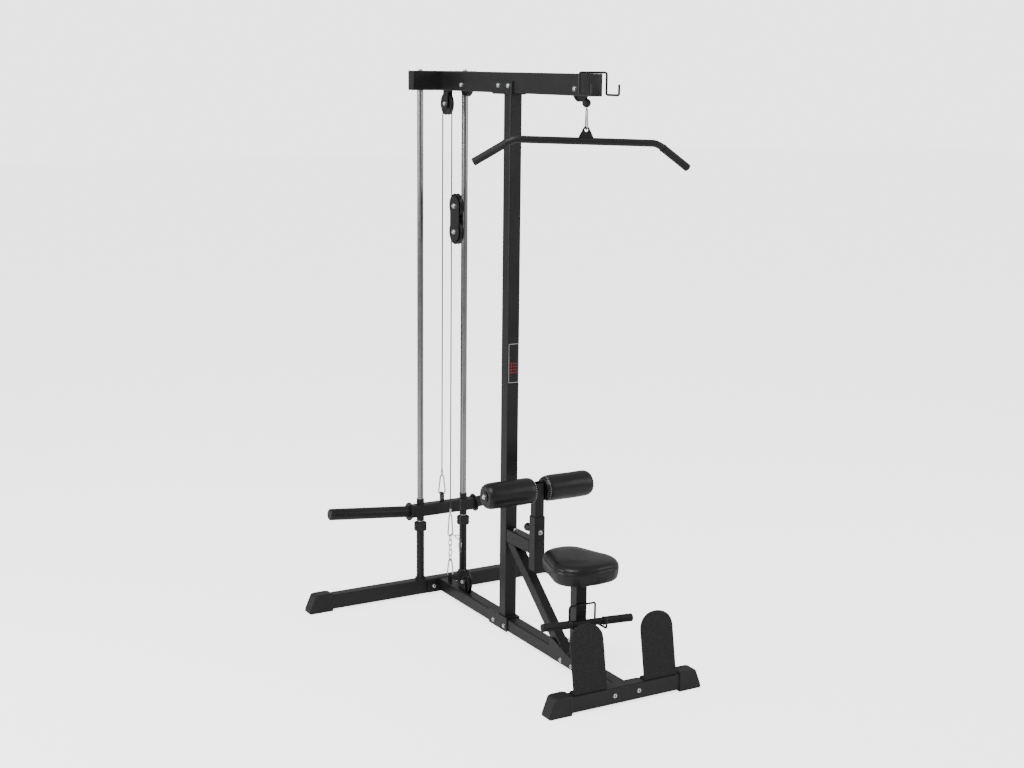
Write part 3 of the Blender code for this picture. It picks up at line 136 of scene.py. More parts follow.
def grain_group():
    """Cloudy colour, fine grain and uneven gloss, shared by most of the finishes."""
    group = bpy.data.node_groups.new("surface grain", "ShaderNodeTree")
    sockets = group.interface
    for name, kind in (
        ("Place", "NodeSocketVector"),
        ("Colour", "NodeSocketColor"),
        ("Rubbed colour", "NodeSocketColor"),
        ("Grain size", "NodeSocketFloat"),
        ("Cloud size", "NodeSocketFloat"),
        ("Gloss", "NodeSocketFloat"),
        ("Gloss spread", "NodeSocketFloat"),
    ):
        sockets.new_socket(name=name, in_out="INPUT", socket_type=kind)
    sockets.new_socket(name="Colour", in_out="OUTPUT", socket_type="NodeSocketColor")
    sockets.new_socket(name="Roughness", in_out="OUTPUT", socket_type="NodeSocketFloat")
    sockets.new_socket(name="Height", in_out="OUTPUT", socket_type="NodeSocketFloat")
    tree = group.nodes
    wires = group.links
    source = tree.new("NodeGroupInput")
    result = tree.new("NodeGroupOutput")
    fine = tree.new("ShaderNodeTexNoise")
    fine.inputs["Detail"].default_value = 4.0
    cloud = tree.new("ShaderNodeTexNoise")
    cloud.inputs["Detail"].default_value = 3.0
    wires.new(source.outputs["Place"], fine.inputs["Vector"])
    wires.new(source.outputs["Place"], cloud.inputs["Vector"])
    wires.new(source.outputs["Grain size"], fine.inputs["Scale"])
    wires.new(source.outputs["Cloud size"], cloud.inputs["Scale"])
    blend = tree.new("ShaderNodeMath")
    blend.operation = "MULTIPLY"
    wires.new(fine.outputs["Fac"], blend.inputs[0])
    wires.new(cloud.outputs["Fac"], blend.inputs[1])
    spread = tree.new("ShaderNodeMapRange")
    spread.inputs["From Min"].default_value = 0.15
    spread.inputs["From Max"].default_value = 0.40
    wires.new(blend.outputs[0], spread.inputs["Value"])
    colours = tree.new("ShaderNodeMix")
    colours.data_type = "RGBA"
    wires.new(spread.outputs["Result"], colours.inputs["Factor"])
    wires.new(source.outputs["Colour"], colours.inputs[6])
    wires.new(source.outputs["Rubbed colour"], colours.inputs[7])
    offset = tree.new("ShaderNodeMath")
    offset.operation = "SUBTRACT"
    offset.inputs[1].default_value = 0.5
    wires.new(cloud.outputs["Fac"], offset.inputs[0])
    gloss = tree.new("ShaderNodeMath")
    gloss.operation = "MULTIPLY_ADD"
    wires.new(offset.outputs[0], gloss.inputs[0])
    wires.new(source.outputs["Gloss spread"], gloss.inputs[1])
    wires.new(source.outputs["Gloss"], gloss.inputs[2])
    wires.new(colours.outputs[2], result.inputs["Colour"])
    wires.new(gloss.outputs[0], result.inputs["Roughness"])
    wires.new(fine.outputs["Fac"], result.inputs["Height"])
    return group


GRAIN = grain_group()


def make_finish(name, colour, rubbed, gloss, spread, grain, cloud, depth, metallic=0.0):
    """Material whose colour, gloss and relief all come from the grain group."""
    material = bpy.data.materials.new(name)
    material.use_nodes = True
    tree = material.node_tree
    shader = tree.nodes["Principled BSDF"]
    shader.inputs["Metallic"].default_value = metallic
    if metallic == 0.0:
        shader.inputs["Specular IOR Level"].default_value = 0.30
    place = tree.nodes.new("ShaderNodeTexCoord")
    group = tree.nodes.new("ShaderNodeGroup")
    group.node_tree = GRAIN
    group.inputs["Colour"].default_value = (*colour, 1.0)
    group.inputs["Rubbed colour"].default_value = (*rubbed, 1.0)
    group.inputs["Grain size"].default_value = grain
    group.inputs["Cloud size"].default_value = cloud
    group.inputs["Gloss"].default_value = gloss
    group.inputs["Gloss spread"].default_value = spread
    bump = tree.nodes.new("ShaderNodeBump")
    bump.inputs["Strength"].default_value = depth
    bump.inputs["Distance"].default_value = 0.001
    tree.links.new(place.outputs["Object"], group.inputs["Place"])
    tree.links.new(group.outputs["Colour"], shader.inputs["Base Color"])
    tree.links.new(group.outputs["Roughness"], shader.inputs["Roughness"])
    tree.links.new(group.outputs["Height"], bump.inputs["Height"])
    tree.links.new(bump.outputs["Normal"], shader.inputs["Normal"])
    return material


def wear(node_names, material):
    """Give carried-over frame parts their finish."""
    for node_name in node_names:
        mesh = nodes[node_name].data
        mesh.materials.clear()
        mesh.materials.append(material)


powder_coat = make_finish(
    "black powder coat", (0.005, 0.005, 0.0055), (0.011, 0.011, 0.012), 0.38, 0.16, 900.0, 6.0, 0.28
)
wear(
    [
        "front_crossbeam", "rear_crossbeam", "base_beam_rear", "base_beam_front", "column",
        "top_beam", "top_crosspiece", "rod_post_left", "rod_post_right", "diagonal_brace",
        "roller_sleeve", "seat_post", "roller_post", "weight_carriage", "plate_sleeve_left",
        "plate_sleeve_right", "top_bar_hook", "low_bar_hook", "rear_pulley_bracket",
        "row_rear_bracket", "row_front_bracket", "block_bracket", "lat_bar", "row_bar",
    ],
    powder_coat,
)

# Feet and tube plugs: moulded black plastic with a light moulded grain. The feet
# slip over the cross-beams; the plugs push into the open tube ends.
moulded_plastic = make_finish(
    "moulded plastic", (0.007, 0.007, 0.008), (0.013, 0.013, 0.014), 0.50, 0.12, 700.0, 14.0, 0.35
)
wear(
    ["foot_cap_front_left", "foot_cap_front_right", "foot_cap_rear_left", "foot_cap_rear_right"],
    moulded_plastic,
)


def only(piece):
    """Select one piece and nothing else."""
    bpy.ops.object.select_all(action="DESELECT")
    piece.select_set(True)
    bpy.context.view_layer.objects.active = piece


def settle(piece, name):
    """Put a piece's place into its mesh and name it."""
    only(piece)
    bpy.ops.object.transform_apply(location=True, rotation=True, scale=True)
    piece.name = name
    piece.data.name = name
    return piece


def apply_all(piece):
    """Apply every modifier on a piece."""
    only(piece)
    for modifier in list(piece.modifiers):
        bpy.ops.object.modifier_apply(modifier=modifier.name)
    return piece


def smooth(piece, angle=35.0):
    """Shade round surfaces smooth and keep the hard edges."""
    only(piece)
    bpy.ops.object.shade_smooth_by_angle(angle=math.radians(angle))
    return piece


def coat(piece, material):
    """Finish and material slot of a piece."""
    piece.data.materials.clear()
    piece.data.materials.append(material)
    return piece


def dress(piece, material, body):
    """Finish, material slot and the body that a piece rides on."""
    coat(piece, material)
    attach(piece, body)
    return piece


def tube_plug(name, centre, size):
    """Flat plastic lid with eased edges."""
    bpy.ops.object.select_all(action="DESELECT")
    bpy.ops.mesh.primitive_cube_add(size=1.0, location=centre)
    plug = bpy.context.object
    plug.scale = size
    settle(plug, name)
    ease = plug.modifiers.new("ease", "BEVEL")
    ease.width = 0.0035
    ease.segments = 3
    ease.limit_method = "ANGLE"
    ease.angle_limit = math.radians(60.0)
    ease.use_clamp_overlap = True
    apply_all(plug)
    smooth(plug)
    return dress(plug, moulded_plastic, "tower")


beam_low, beam_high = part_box("top_beam")
BEAM_TOP_Z = 2.140
beam_mid_z = (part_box("top_crosspiece")[0].z + BEAM_TOP_Z) / 2
tube_plug("beam_end_plug", (0.0, beam_low.y - 0.0025, beam_mid_z), (0.0502, 0.0046, 0.0752))
cross_low, cross_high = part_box("top_crosspiece")
cross_y = (cross_low.y + cross_high.y) / 2
for side, word in ((-1.0, "left"), (1.0, "right")):
    tube_plug(
        "crosspiece_plug_" + word,
        (side * (cross_high.x + 0.0022), cross_y, beam_mid_z),
        (0.0042, 0.0452, 0.0752),
    )

# Guide rods: steel tube with bright hard chrome, ground round and faintly hazed.
# Each stands in its post and is held by the crosspiece at the top.
rod_chrome = make_finish(
    "hard chrome", (0.24, 0.235, 0.23), (0.30, 0.295, 0.29), 0.20, 0.10, 300.0, 9.0, 0.02, 1.0
)
wear(["guide_rod_left", "guide_rod_right"], rod_chrome)

# Rubber stops: moulded rubber rings on the guide posts and the ball on the pull
# cable, matt black with a fine bloom.
stop_rubber = make_finish(
    "stop rubber", (0.010, 0.010, 0.011), (0.022, 0.022, 0.022), 0.72, 0.14, 800.0, 30.0, 0.30
)
wear(["rod_buffer_left", "rod_buffer_right", "cable_stop_ball"], stop_rubber)

# Pulley wheels: moulded nylon with a shaped groove, a sunken web and a raised hub,
# turning on the axle bolts of their brackets.
GROOVE_HALF_WIDTH = 0.0035
GROOVE_DEPTH = 0.0100
SHOULDER_DEPTH = 0.0062
RIM_WALL = 0.0065
WEB_SLOPE = 0.0012
WEB_DEPTH = 0.0030
HUB_RADIUS = 0.0160
HUB_HEIGHT = 0.0034
nylon = make_finish(
    "moulded nylon", (0.006, 0.006, 0.007), (0.013, 0.013, 0.014), 0.33, 0.12, 500.0, 20.0, 0.12
)


def pulley_wheel(node_name, body):
    """Turned wheel that stands for the plain sheave of the frame."""
    low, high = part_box(node_name)
    centre = (low + high) / 2
    rim = (high.z - low.z) / 2
    half = (high.x - low.x) / 2
    bpy.ops.object.select_all(action="DESELECT")
    bpy.ops.mesh.primitive_cylinder_add(
        vertices=72,
        radius=rim,
        depth=2 * half,
        location=centre,
        rotation=(0.0, math.radians(90.0), 0.0),
    )
    wheel = settle(bpy.context.object, node_name + "_wheel")
    bm = bmesh.new()
    bm.from_mesh(wheel.data)
    bmesh.ops.bisect_plane(
        bm, geom=bm.verts[:] + bm.edges[:] + bm.faces[:], plane_co=centre, plane_no=(1.0, 0.0, 0.0)
    )
    for step in (GROOVE_HALF_WIDTH, -GROOVE_HALF_WIDTH):
        bmesh.ops.bisect_plane(
            bm,
            geom=bm.verts[:] + bm.edges[:] + bm.faces[:],
            plane_co=centre + Vector((step, 0.0, 0.0)),
            plane_no=(1.0, 0.0, 0.0),
        )
    for vert in bm.verts:
        offset = vert.co - centre
        if abs(offset.x) < 0.0004:
            share = (rim - GROOVE_DEPTH) / rim
        elif abs(offset.x) < 0.0040:
            share = (rim - SHOULDER_DEPTH) / rim
        else:
            continue
        vert.co = centre + Vector((offset.x, offset.y * share, offset.z * share))
    bm.to_mesh(wheel.data)
    bm.free()
    for sign in (-1.0, 1.0):
        only(wheel)
        bpy.ops.object.mode_set(mode="EDIT")
        bpy.ops.mesh.select_mode(type="FACE")
        bpy.ops.mesh.select_all(action="DESELECT")
        bpy.ops.object.mode_set(mode="OBJECT")
        for polygon in wheel.data.polygons:
            polygon.select = polygon.normal.x * sign > 0.95 and len(polygon.vertices) > 8
        bpy.ops.object.mode_set(mode="EDIT")
        bpy.ops.mesh.inset(thickness=RIM_WALL)
        bpy.ops.mesh.inset(thickness=WEB_SLOPE)
        bpy.ops.transform.translate(value=(-sign * WEB_DEPTH, 0.0, 0.0))
        bpy.ops.mesh.inset(thickness=rim - RIM_WALL - WEB_SLOPE - HUB_RADIUS)
        bpy.ops.mesh.inset(thickness=WEB_SLOPE)
        bpy.ops.transform.translate(value=(sign * HUB_HEIGHT, 0.0, 0.0))
        bpy.ops.object.mode_set(mode="OBJECT")
    ease = wheel.modifiers.new("ease", "BEVEL")
    ease.width = 0.0006
    ease.segments = 2
    ease.limit_method = "ANGLE"
    ease.angle_limit = math.radians(40.0)
    apply_all(wheel)
    smooth(wheel, 40.0)
    dress(wheel, nylon, body)
    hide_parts(node_name)
    return wheel


for node_name, body in (
    ("lat_pulley_front", "front_sheave"),
    ("lat_pulley_middle", "middle_sheave"),
    ("lat_pulley_rear", "top_rear_sheave"),
    ("block_pulley_upper", "block_upper_sheave"),
    ("block_pulley_lower", "block_lower_sheave"),
    ("row_pulley_rear", "row_rear_sheave"),
    ("row_pulley_front", "row_front_sheave"),
):
    pulley_wheel(node_name, body)
wear(["adjuster_pin"], nylon)

# Bolts: zinc plated button-head bolts with a hexagon socket and a flat washer.
# One is modelled and copied to the clamped joints and the pulley axles.
bright_zinc = make_finish(
    "bright zinc", (0.58, 0.59, 0.61), (0.70, 0.71, 0.73), 0.26, 0.16, 400.0, 60.0, 0.08, 1.0
)


def button_bolt():
    """Button head with socket, standing on a washer, its face up the Z axis."""
    bpy.ops.object.select_all(action="DESELECT")
    bpy.ops.mesh.primitive_cylinder_add(
        vertices=24, radius=0.0086, depth=0.0014, location=(0, 0, 0.0007)
    )
    washer = settle(bpy.context.object, "washer")
    bpy.ops.object.select_all(action="DESELECT")
    bpy.ops.mesh.primitive_cylinder_add(
        vertices=24, radius=0.0072, depth=0.0034, location=(0, 0, 0.0031)
    )
    head = settle(bpy.context.object, "bolt_head")
    only(head)
    for polygon in head.data.polygons:
        polygon.select = polygon.normal.z > 0.9
    bpy.ops.object.mode_set(mode="EDIT")
    bpy.ops.mesh.select_mode(type="FACE")
    bpy.ops.mesh.inset(thickness=0.0016)
    bpy.ops.transform.translate(value=(0.0, 0.0, 0.0008))
    bpy.ops.mesh.inset(thickness=0.0022)
    bpy.ops.transform.translate(value=(0.0, 0.0, 0.0002))
    bpy.ops.mesh.inset(thickness=0.0004)
    bpy.ops.transform.translate(value=(0.0, 0.0, -0.0018))
    bpy.ops.object.mode_set(mode="OBJECT")
    ease = head.modifiers.new("ease", "BEVEL")
    ease.width = 0.0004
    ease.segments = 1
    ease.limit_method = "ANGLE"
    ease.angle_limit = math.radians(40.0)
    apply_all(head)
    bpy.ops.object.select_all(action="DESELECT")
    washer.select_set(True)
    head.select_set(True)
    bpy.context.view_layer.objects.active = washer
    bpy.ops.object.join()
    bolt = bpy.context.object
    smooth(bolt, 30.0)
    return bolt


COLUMN_Y = 0.0974
bolt = button_bolt()


def bolt_set(name, places, body):
    """Copies of the bolt at each place, joined into one piece."""
    copies = []
    for place, direction, size in places:
        turn_to = Vector(direction).to_track_quat("Z", "Y").to_matrix().to_4x4()
        copy = bolt.copy()
        copy.data = bolt.data.copy()
        bpy.context.scene.collection.objects.link(copy)
        copy.data.transform(Matrix.Translation(place) @ turn_to @ Matrix.Scale(size, 4))
        copies.append(copy)
    bpy.ops.object.select_all(action="DESELECT")
    for copy in copies:
        copy.select_set(True)
    bpy.context.view_layer.objects.active = copies[0]
    bpy.ops.object.join()
    piece = bpy.context.object
    piece.name = name
    return dress(piece, bright_zinc, body)


tower_bolts = []
for x in (-0.050, 0.050):
    tower_bolts.append(((x, -0.805 + COLUMN_Y, 0.039), (0, -1, 0), 1.0))
    tower_bolts.append(((x, 0.5499 + COLUMN_Y, 0.0365), (0, -1, 0), 1.05))
    tower_bolts.append(((x, -0.7547 + COLUMN_Y, 0.0365), (0, 1, 0), 1.05))
    tower_bolts.append(((2 * x, 0.5777 + COLUMN_Y, 2.140), (0, 0, 1), 1.15))
for side in (-1.0, 1.0):
    out = (side, 0, 0)
    for y, z, face in (
        (-0.418, 0.034, 0.029), (-0.493, 0.034, 0.029), (0.000, 0.033, 0.0293),
        (0.082, 0.033, 0.0293), (0.010, 2.092, 0.0293), (0.082, 2.092, 0.0293),
        (-0.435, 2.089, 0.025), (0.3777, 2.089, 0.025), (-0.470, 0.127, 0.0225),
        (0.5397, 2.0139, 0.0112), (0.3727, 0.099, 0.0112), (-0.5575, 0.094, 0.0112),
    ):
        tower_bolts.append(((side * face, y + COLUMN_Y, z), out, 1.07))
tower_bolts.append(((0.0, -0.030 + COLUMN_Y, 0.422), (0, 0, 1), 1.07))
tower_bolts.append(((0.0, -0.211 + COLUMN_Y, 0.459), (0, -1, 0), 1.07))
bolt_set("tower_bolts", tower_bolts, "tower")
block_bolts = []
for side in (-1.0, 1.0):
    for z in (1.517, 1.619):
        block_bolts.append(((side * 0.0112, 0.4587 + COLUMN_Y, z), (side, 0, 0), 1.25))
bolt_set("block_bolts", block_bolts, "block")
roller_bolts = []
for side in (-1.0, 1.0):
    roller_bolts.append(((side * 0.2262, -0.1885 + COLUMN_Y, 0.620), (side, 0, 0), 1.1))
bolt_set("roller_bolts", roller_bolts, "roller_mast")
bpy.data.objects.remove(bolt, do_unlink=True)

# Seat: moulded foam on a plywood board, covered in black leatherette that is
# stretched over the top and joined to a side band by a piped seam.
leather = make_finish(
    "black leatherette", (0.006, 0.006, 0.007), (0.011, 0.011, 0.012), 0.33, 0.10, 420.0, 10.0, 0.30
)
CLOTH_FRAMES = 12
PUFF_LIMIT = 0.0022
seat_low, seat_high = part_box("seat_pad")
bpy.ops.object.select_all(action="DESELECT")
seat = nodes["seat_pad"].copy()
seat.data = nodes["seat_pad"].data.copy()
bpy.context.scene.collection.objects.link(seat)
for key in list(seat.keys()):
    del seat[key]
seat.parent = None
seat.name = "seat_cushion"
only(seat)
bpy.ops.object.mode_set(mode="EDIT")
bpy.ops.mesh.select_all(action="SELECT")
bpy.ops.mesh.remove_doubles(threshold=0.0001)
bpy.ops.mesh.normals_make_consistent(inside=False)
bpy.ops.object.mode_set(mode="OBJECT")
seat_mid = (seat_low + seat_high) / 2
for vert in seat.data.vertices:
    offset = vert.co - seat_mid
    vert.co = seat_mid + Vector((offset.x * 0.982, offset.y * 0.985, offset.z * 0.965))
remesh = seat.modifiers.new("remesh", "REMESH")
remesh.mode = "VOXEL"
remesh.voxel_size = 0.005
even = seat.modifiers.new("even", "SMOOTH")
even.factor = 0.5
even.iterations = 6
apply_all(seat)
rest_places = [vert.co.copy() for vert in seat.data.vertices]
cloth = seat.modifiers.new("cover", "CLOTH")
cloth.settings.use_pressure = True
cloth.settings.uniform_pressure_force = 1.2
cloth.settings.effector_weights.gravity = 0.0
cloth.settings.tension_stiffness = 40.0
cloth.settings.compression_stiffness = 40.0
cloth.settings.bending_stiffness = 8.0
cloth.settings.quality = 6
for step in range(1, CLOTH_FRAMES + 1):
    bpy.context.scene.frame_set(step)
apply_all(seat)
bpy.context.scene.frame_set(1)
for vert, rest in zip(seat.data.vertices, rest_places):
    shift = vert.co - rest
    if shift.length > PUFF_LIMIT:
        shift = shift.normalized() * PUFF_LIMIT
    vert.co = rest + shift
soften = seat.modifiers.new("soften", "SMOOTH")
soften.factor = 0.5
soften.iterations = 8
rounder = seat.modifiers.new("rounder", "SUBSURF")
rounder.levels = 1
rounder.render_levels = 1
apply_all(seat)
SEAM_Z = seat_low.z + 0.0560
SEAM_HALF_WIDTH = 0.006
for vert in seat.data.vertices:
    vert.co.z = min(max(vert.co.z, seat_low.z + 0.0004), seat_high.z + 0.003)
    gap = abs(vert.co.z - SEAM_Z)
    if gap < SEAM_HALF_WIDTH:
        pinch = 1.0 - 0.016 * (1.0 - gap / SEAM_HALF_WIDTH)
        vert.co.x = seat_mid.x + (vert.co.x - seat_mid.x) * pinch
        vert.co.y = seat_mid.y + (vert.co.y - seat_mid.y) * pinch
only(seat)
bpy.ops.object.shade_smooth()
dress(seat, leather, "tower")
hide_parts("seat_pad")


def wire(name, spots, thick=0.005, sides=3, closed=False):
    """Round wire swept along its centre line and made a mesh."""
    bpy.ops.object.select_all(action="DESELECT")
    bpy.ops.curve.primitive_bezier_curve_add(location=(0.0, 0.0, 0.0))
    strand = bpy.context.object
    strand.data.splines.clear()
    spline = strand.data.splines.new("POLY")
    spline.points.add(len(spots) - 1)
    for point, spot in zip(spline.points, spots):
        point.co = (spot[0], spot[1], spot[2], 1.0)
    spline.use_cyclic_u = closed
    strand.data.bevel_depth = thick / 2
    strand.data.bevel_resolution = sides
    strand.data.use_fill_caps = not closed
    only(strand)
    bpy.ops.object.convert(target="MESH")
    strand = bpy.context.object
    only(strand)
    bpy.ops.object.mode_set(mode="EDIT")
    bpy.ops.mesh.select_all(action="SELECT")
    bpy.ops.mesh.remove_doubles(threshold=0.00002)
    bpy.ops.mesh.normals_make_consistent(inside=False)
    bpy.ops.object.mode_set(mode="OBJECT")
    strand.name = name
    return smooth(strand, 50.0)


# Piping: a cord sewn in under the leatherette round the seam between the top and
# the side band.
PIPING_SPOTS = 120
piping_line = []
for step in range(PIPING_SPOTS):
    angle = 2.0 * math.pi * step / PIPING_SPOTS
    outward = Vector((math.cos(angle), math.sin(angle), 0.0))
    start = Vector((seat_mid.x, seat_mid.y, SEAM_Z)) + outward * 0.40
    spot = seat.ray_cast(start, -outward)[1]
    piping_line.append(tuple(spot + outward * 0.0004))
seat_piping = wire("seat_piping", piping_line, 0.0042, 3, True)
dress(seat_piping, leather, "tower")

# Thigh rollers: dense foam sleeves in black leatherette, gathered round a disc at
# each end, turning on the steel cross tube.
for side, word, body in ((-1.0, "left", "roller_left"), (1.0, "right", "roller_right")):
    low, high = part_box("thigh_roller_" + word)
    centre = (low + high) / 2
    bpy.ops.object.select_all(action="DESELECT")
    bpy.ops.mesh.primitive_cylinder_add(
        vertices=64,
        radius=0.0500,
        depth=high.x - low.x,
        end_fill_type="NGON",
        location=centre,
        rotation=(0.0, math.radians(90.0), 0.0),
    )
    roller = settle(bpy.context.object, "thigh_roller_pad_" + word)
    only(roller)
    for polygon in roller.data.polygons:
        polygon.select = abs(polygon.normal.x) > 0.9
    bpy.ops.object.mode_set(mode="EDIT")
    bpy.ops.mesh.select_mode(type="FACE")
    bpy.ops.mesh.inset(thickness=0.010)
    bpy.ops.mesh.inset(thickness=0.010)
    bpy.ops.mesh.inset(thickness=0.0165)
    bpy.ops.mesh.delete(type="FACE")
    bpy.ops.object.mode_set(mode="OBJECT")
    bm = bmesh.new()
    bm.from_mesh(roller.data)
    for step in range(1, 16):
        x = low.x + (high.x - low.x) * step / 16
        bmesh.ops.bisect_plane(
            bm, geom=bm.verts[:] + bm.edges[:] + bm.faces[:], plane_co=(x, 0, 0), plane_no=(1, 0, 0)
        )
    half_length = (high.x - low.x) / 2
    for vert in bm.verts:
        along = (vert.co.x - centre.x) / half_length
        offset = Vector((0.0, vert.co.y - centre.y, vert.co.z - centre.z))
        reach = offset.length
        angle = math.atan2(offset.z, offset.y)
        if reach > 0.045:
            crown = 0.0490 - 0.0060 * abs(along) ** 10
            crown += 0.0004 * math.sin(3.0 * angle + 5.0 * along)
            offset = offset.normalized() * crown
        elif reach > 0.035:
            offset = offset.normalized() * (0.0390 + 0.0010 * math.sin(16.0 * angle))
        vert.co.y = centre.y + offset.y
        vert.co.z = centre.z + offset.z
    bm.to_mesh(roller.data)
    bm.free()
    for vert in roller.data.vertices:
        if abs(abs(vert.co.x - centre.x) - half_length) < 0.0005:
            reach = math.hypot(vert.co.y - centre.y, vert.co.z - centre.z)
            if reach > 0.042:
                vert.co.x -= math.copysign(0.0050, vert.co.x - centre.x)
            elif reach < 0.034:
                vert.co.x -= math.copysign(0.0015, vert.co.x - centre.x)
    rounder = roller.modifiers.new("rounder", "SUBSURF")
    rounder.levels = 2
    rounder.render_levels = 2
    apply_all(roller)
    only(roller)
    bpy.ops.object.shade_smooth()
    dress(roller, leather, body)
    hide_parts("thigh_roller_" + word)


# Roller stitching: a ring of pale thread on each roller's inner end, where the
# leatherette is sewn to its end panel. One stitch is modelled and copied round.
bpy.ops.object.select_all(action="DESELECT")
bpy.ops.mesh.primitive_uv_sphere_add(segments=8, ring_count=6, radius=0.0011, location=(0, 0, 0))
stitch = bpy.context.object
stitch.scale = (0.8, 2.1, 0.8)
settle(stitch, "stitch")
pale_thread = make_finish(
    "pale thread", (0.42, 0.42, 0.42), (0.60, 0.60, 0.60), 0.65, 0.10, 900.0, 40.0, 0.30
)
STITCHES = 34
for side, word, body in ((-1.0, "left", "roller_left"), (1.0, "right", "roller_right")):
    low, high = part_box("thigh_roller_" + word)
    centre = (low + high) / 2
    inner_x = high.x if side < 0.0 else low.x
    copies = []
    for index in range(STITCHES):
        angle = 2.0 * math.pi * index / STITCHES
        place = Vector((inner_x + side * 0.0090, centre.y, centre.z))
        place += Vector((0.0, math.cos(angle), math.sin(angle))) * 0.0476
        copy = stitch.copy()
        copy.data = stitch.data.copy()
        bpy.context.scene.collection.objects.link(copy)
        spin = Matrix.Rotation(angle + math.pi / 2, 4, "X")
        copy.data.transform(Matrix.Translation(place) @ spin)
        copies.append(copy)
    bpy.ops.object.select_all(action="DESELECT")
    for copy in copies:
        copy.select_set(True)
    bpy.context.view_layer.objects.active = copies[0]
    bpy.ops.object.join()
    ring = bpy.context.object
    ring.name = "roller_stitching_" + word
    smooth(ring)
    dress(ring, pale_thread, body)
bpy.data.objects.remove(stitch, do_unlink=True)

# Wire cables: steel rope in a smooth dark nylon coat, 5 mm across. One runs over
# the top beam, round the block and back up over the rear wheel to the carriage;
# the other runs from the chain over the block and along the base to the row bar.
cable_coat = make_finish(
    "nylon coated wire",
    (0.020, 0.020, 0.022),
    (0.050, 0.050, 0.053),
    0.36,
    0.12,
    1400.0,
    60.0,
    0.25,
    0.45,
)
SMALL_GROOVE = 0.038
LARGE_GROOVE = 0.043
WIRE_TOP_Z = 2.0136
FRONT_WHEEL = (-0.435 + COLUMN_Y, 2.089)
MIDDLE_WHEEL = (0.3777 + COLUMN_Y, 2.089)
REAR_WHEEL = (0.5397 + COLUMN_Y, 2.0139)
BLOCK_TOP_WHEEL = (0.4587 + COLUMN_Y, 1.619)
BLOCK_LOW_WHEEL = (0.4587 + COLUMN_Y, 1.517)
BASE_REAR_WHEEL = (0.3727 + COLUMN_Y, 0.099)
BASE_FRONT_WHEEL = (-0.5575 + COLUMN_Y, 0.094)
STRAND_FRONT_Y = 0.4157 + COLUMN_Y
STRAND_REAR_Y = 0.5017 + COLUMN_Y


def round_wheel(wheel, radius, start, end, steps=24):
    """Points of a cable lying round a wheel, angles in degrees from +Y to +Z."""
    spots = []
    for step in range(steps + 1):
        angle = math.radians(start + (end - start) * step / steps)
        spots.append((0.0, wheel[0] + radius * math.cos(angle), wheel[1] + radius * math.sin(angle)))
    return spots


def straight(start, end, steps):
    """Evenly spaced points from start to end, ends included."""
    first = Vector(start)
    span = Vector(end) - first
    return [tuple(first + span * (step / steps)) for step in range(steps + 1)]


run = round_wheel(FRONT_WHEEL, SMALL_GROOVE, 180.0, 90.0)
run += round_wheel(MIDDLE_WHEEL, SMALL_GROOVE, 90.0, 0.0)
run += [(0.0, STRAND_FRONT_Y, 2.0142)]
lat_run = dress(wire("lat_wire_run", run), cable_coat, "tower")
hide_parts("lat_cable_run")

loop_top = (0.0, STRAND_FRONT_Y, WIRE_TOP_Z)
loop_foot = (0.0, STRAND_FRONT_Y, 1.640)
loop = straight(loop_top, loop_foot, 24)
loop += round_wheel(BLOCK_TOP_WHEEL, LARGE_GROOVE, 180.0, 360.0)
loop += straight((0.0, STRAND_REAR_Y, 1.640), (0.0, STRAND_REAR_Y, WIRE_TOP_Z), 24)
lat_loop = coat(wire("lat_wire_loop", loop), cable_coat)
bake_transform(lat_loop)
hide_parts("lat_cable_loop")

run = round_wheel(REAR_WHEEL, SMALL_GROOVE, 180.0, 0.0)
lat_end = dress(wire("lat_wire_end", run), cable_coat, "tower")
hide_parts("lat_cable_end")

ROD_LINE_Y = 0.5777 + COLUMN_Y
CARRIAGE_EYE_Z = 0.5020
wire_top = (0.0, ROD_LINE_Y, WIRE_TOP_Z)
run = straight((0.0, ROD_LINE_Y, CARRIAGE_EYE_Z), wire_top, 40)
carriage_wire = dress(wire("carriage_wire", run), cable_coat, "tower")
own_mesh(carriage_wire)
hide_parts("carriage_cable")

LAT_DROP_Y = -0.473 + COLUMN_Y
drop_top = (0.0, LAT_DROP_Y, 2.0887)
drop_foot = (0.0, LAT_DROP_Y, 2.0262)
lat_drop = coat(wire("lat_wire_drop", straight(drop_foot, drop_top, 24)), cable_coat)
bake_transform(lat_drop)
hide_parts("lat_cable_drop")

CHAIN_EYE_Z = 0.3520
chain_eye = (0.0, STRAND_REAR_Y, CHAIN_EYE_Z)
loop_top = (0.0, STRAND_REAR_Y, 1.500)
loop = straight(chain_eye, loop_top, 40)
loop += round_wheel(BLOCK_LOW_WHEEL, LARGE_GROOVE, 0.0, 180.0)
loop += straight((0.0, STRAND_FRONT_Y, 1.500), (0.0, STRAND_FRONT_Y, CHAIN_EYE_Z), 40)
row_loop = coat(wire("row_wire_loop", loop), cable_coat)
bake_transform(row_loop)
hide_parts("row_cable_loop")

run = [(0.0, STRAND_FRONT_Y, 0.3517)]
run += round_wheel(BASE_REAR_WHEEL, LARGE_GROOVE, 0.0, -90.0)
run += round_wheel(BASE_FRONT_WHEEL, SMALL_GROOVE, 270.0, 155.513)
row_run = dress(wire("row_wire_run", run), cable_coat, "tower")
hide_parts("row_cable_run")

ROW_HOOK_TOP = (-0.00066, -0.58156 + COLUMN_Y, 0.13285)
ROW_WIRE_END = (-0.00003, -0.59158 + COLUMN_Y, 0.11084)
row_drop = wire("row_wire_drop", straight(ROW_HOOK_TOP, ROW_WIRE_END, 16))
coat(row_drop, cable_coat)
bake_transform(row_drop)
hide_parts("row_cable_drop")

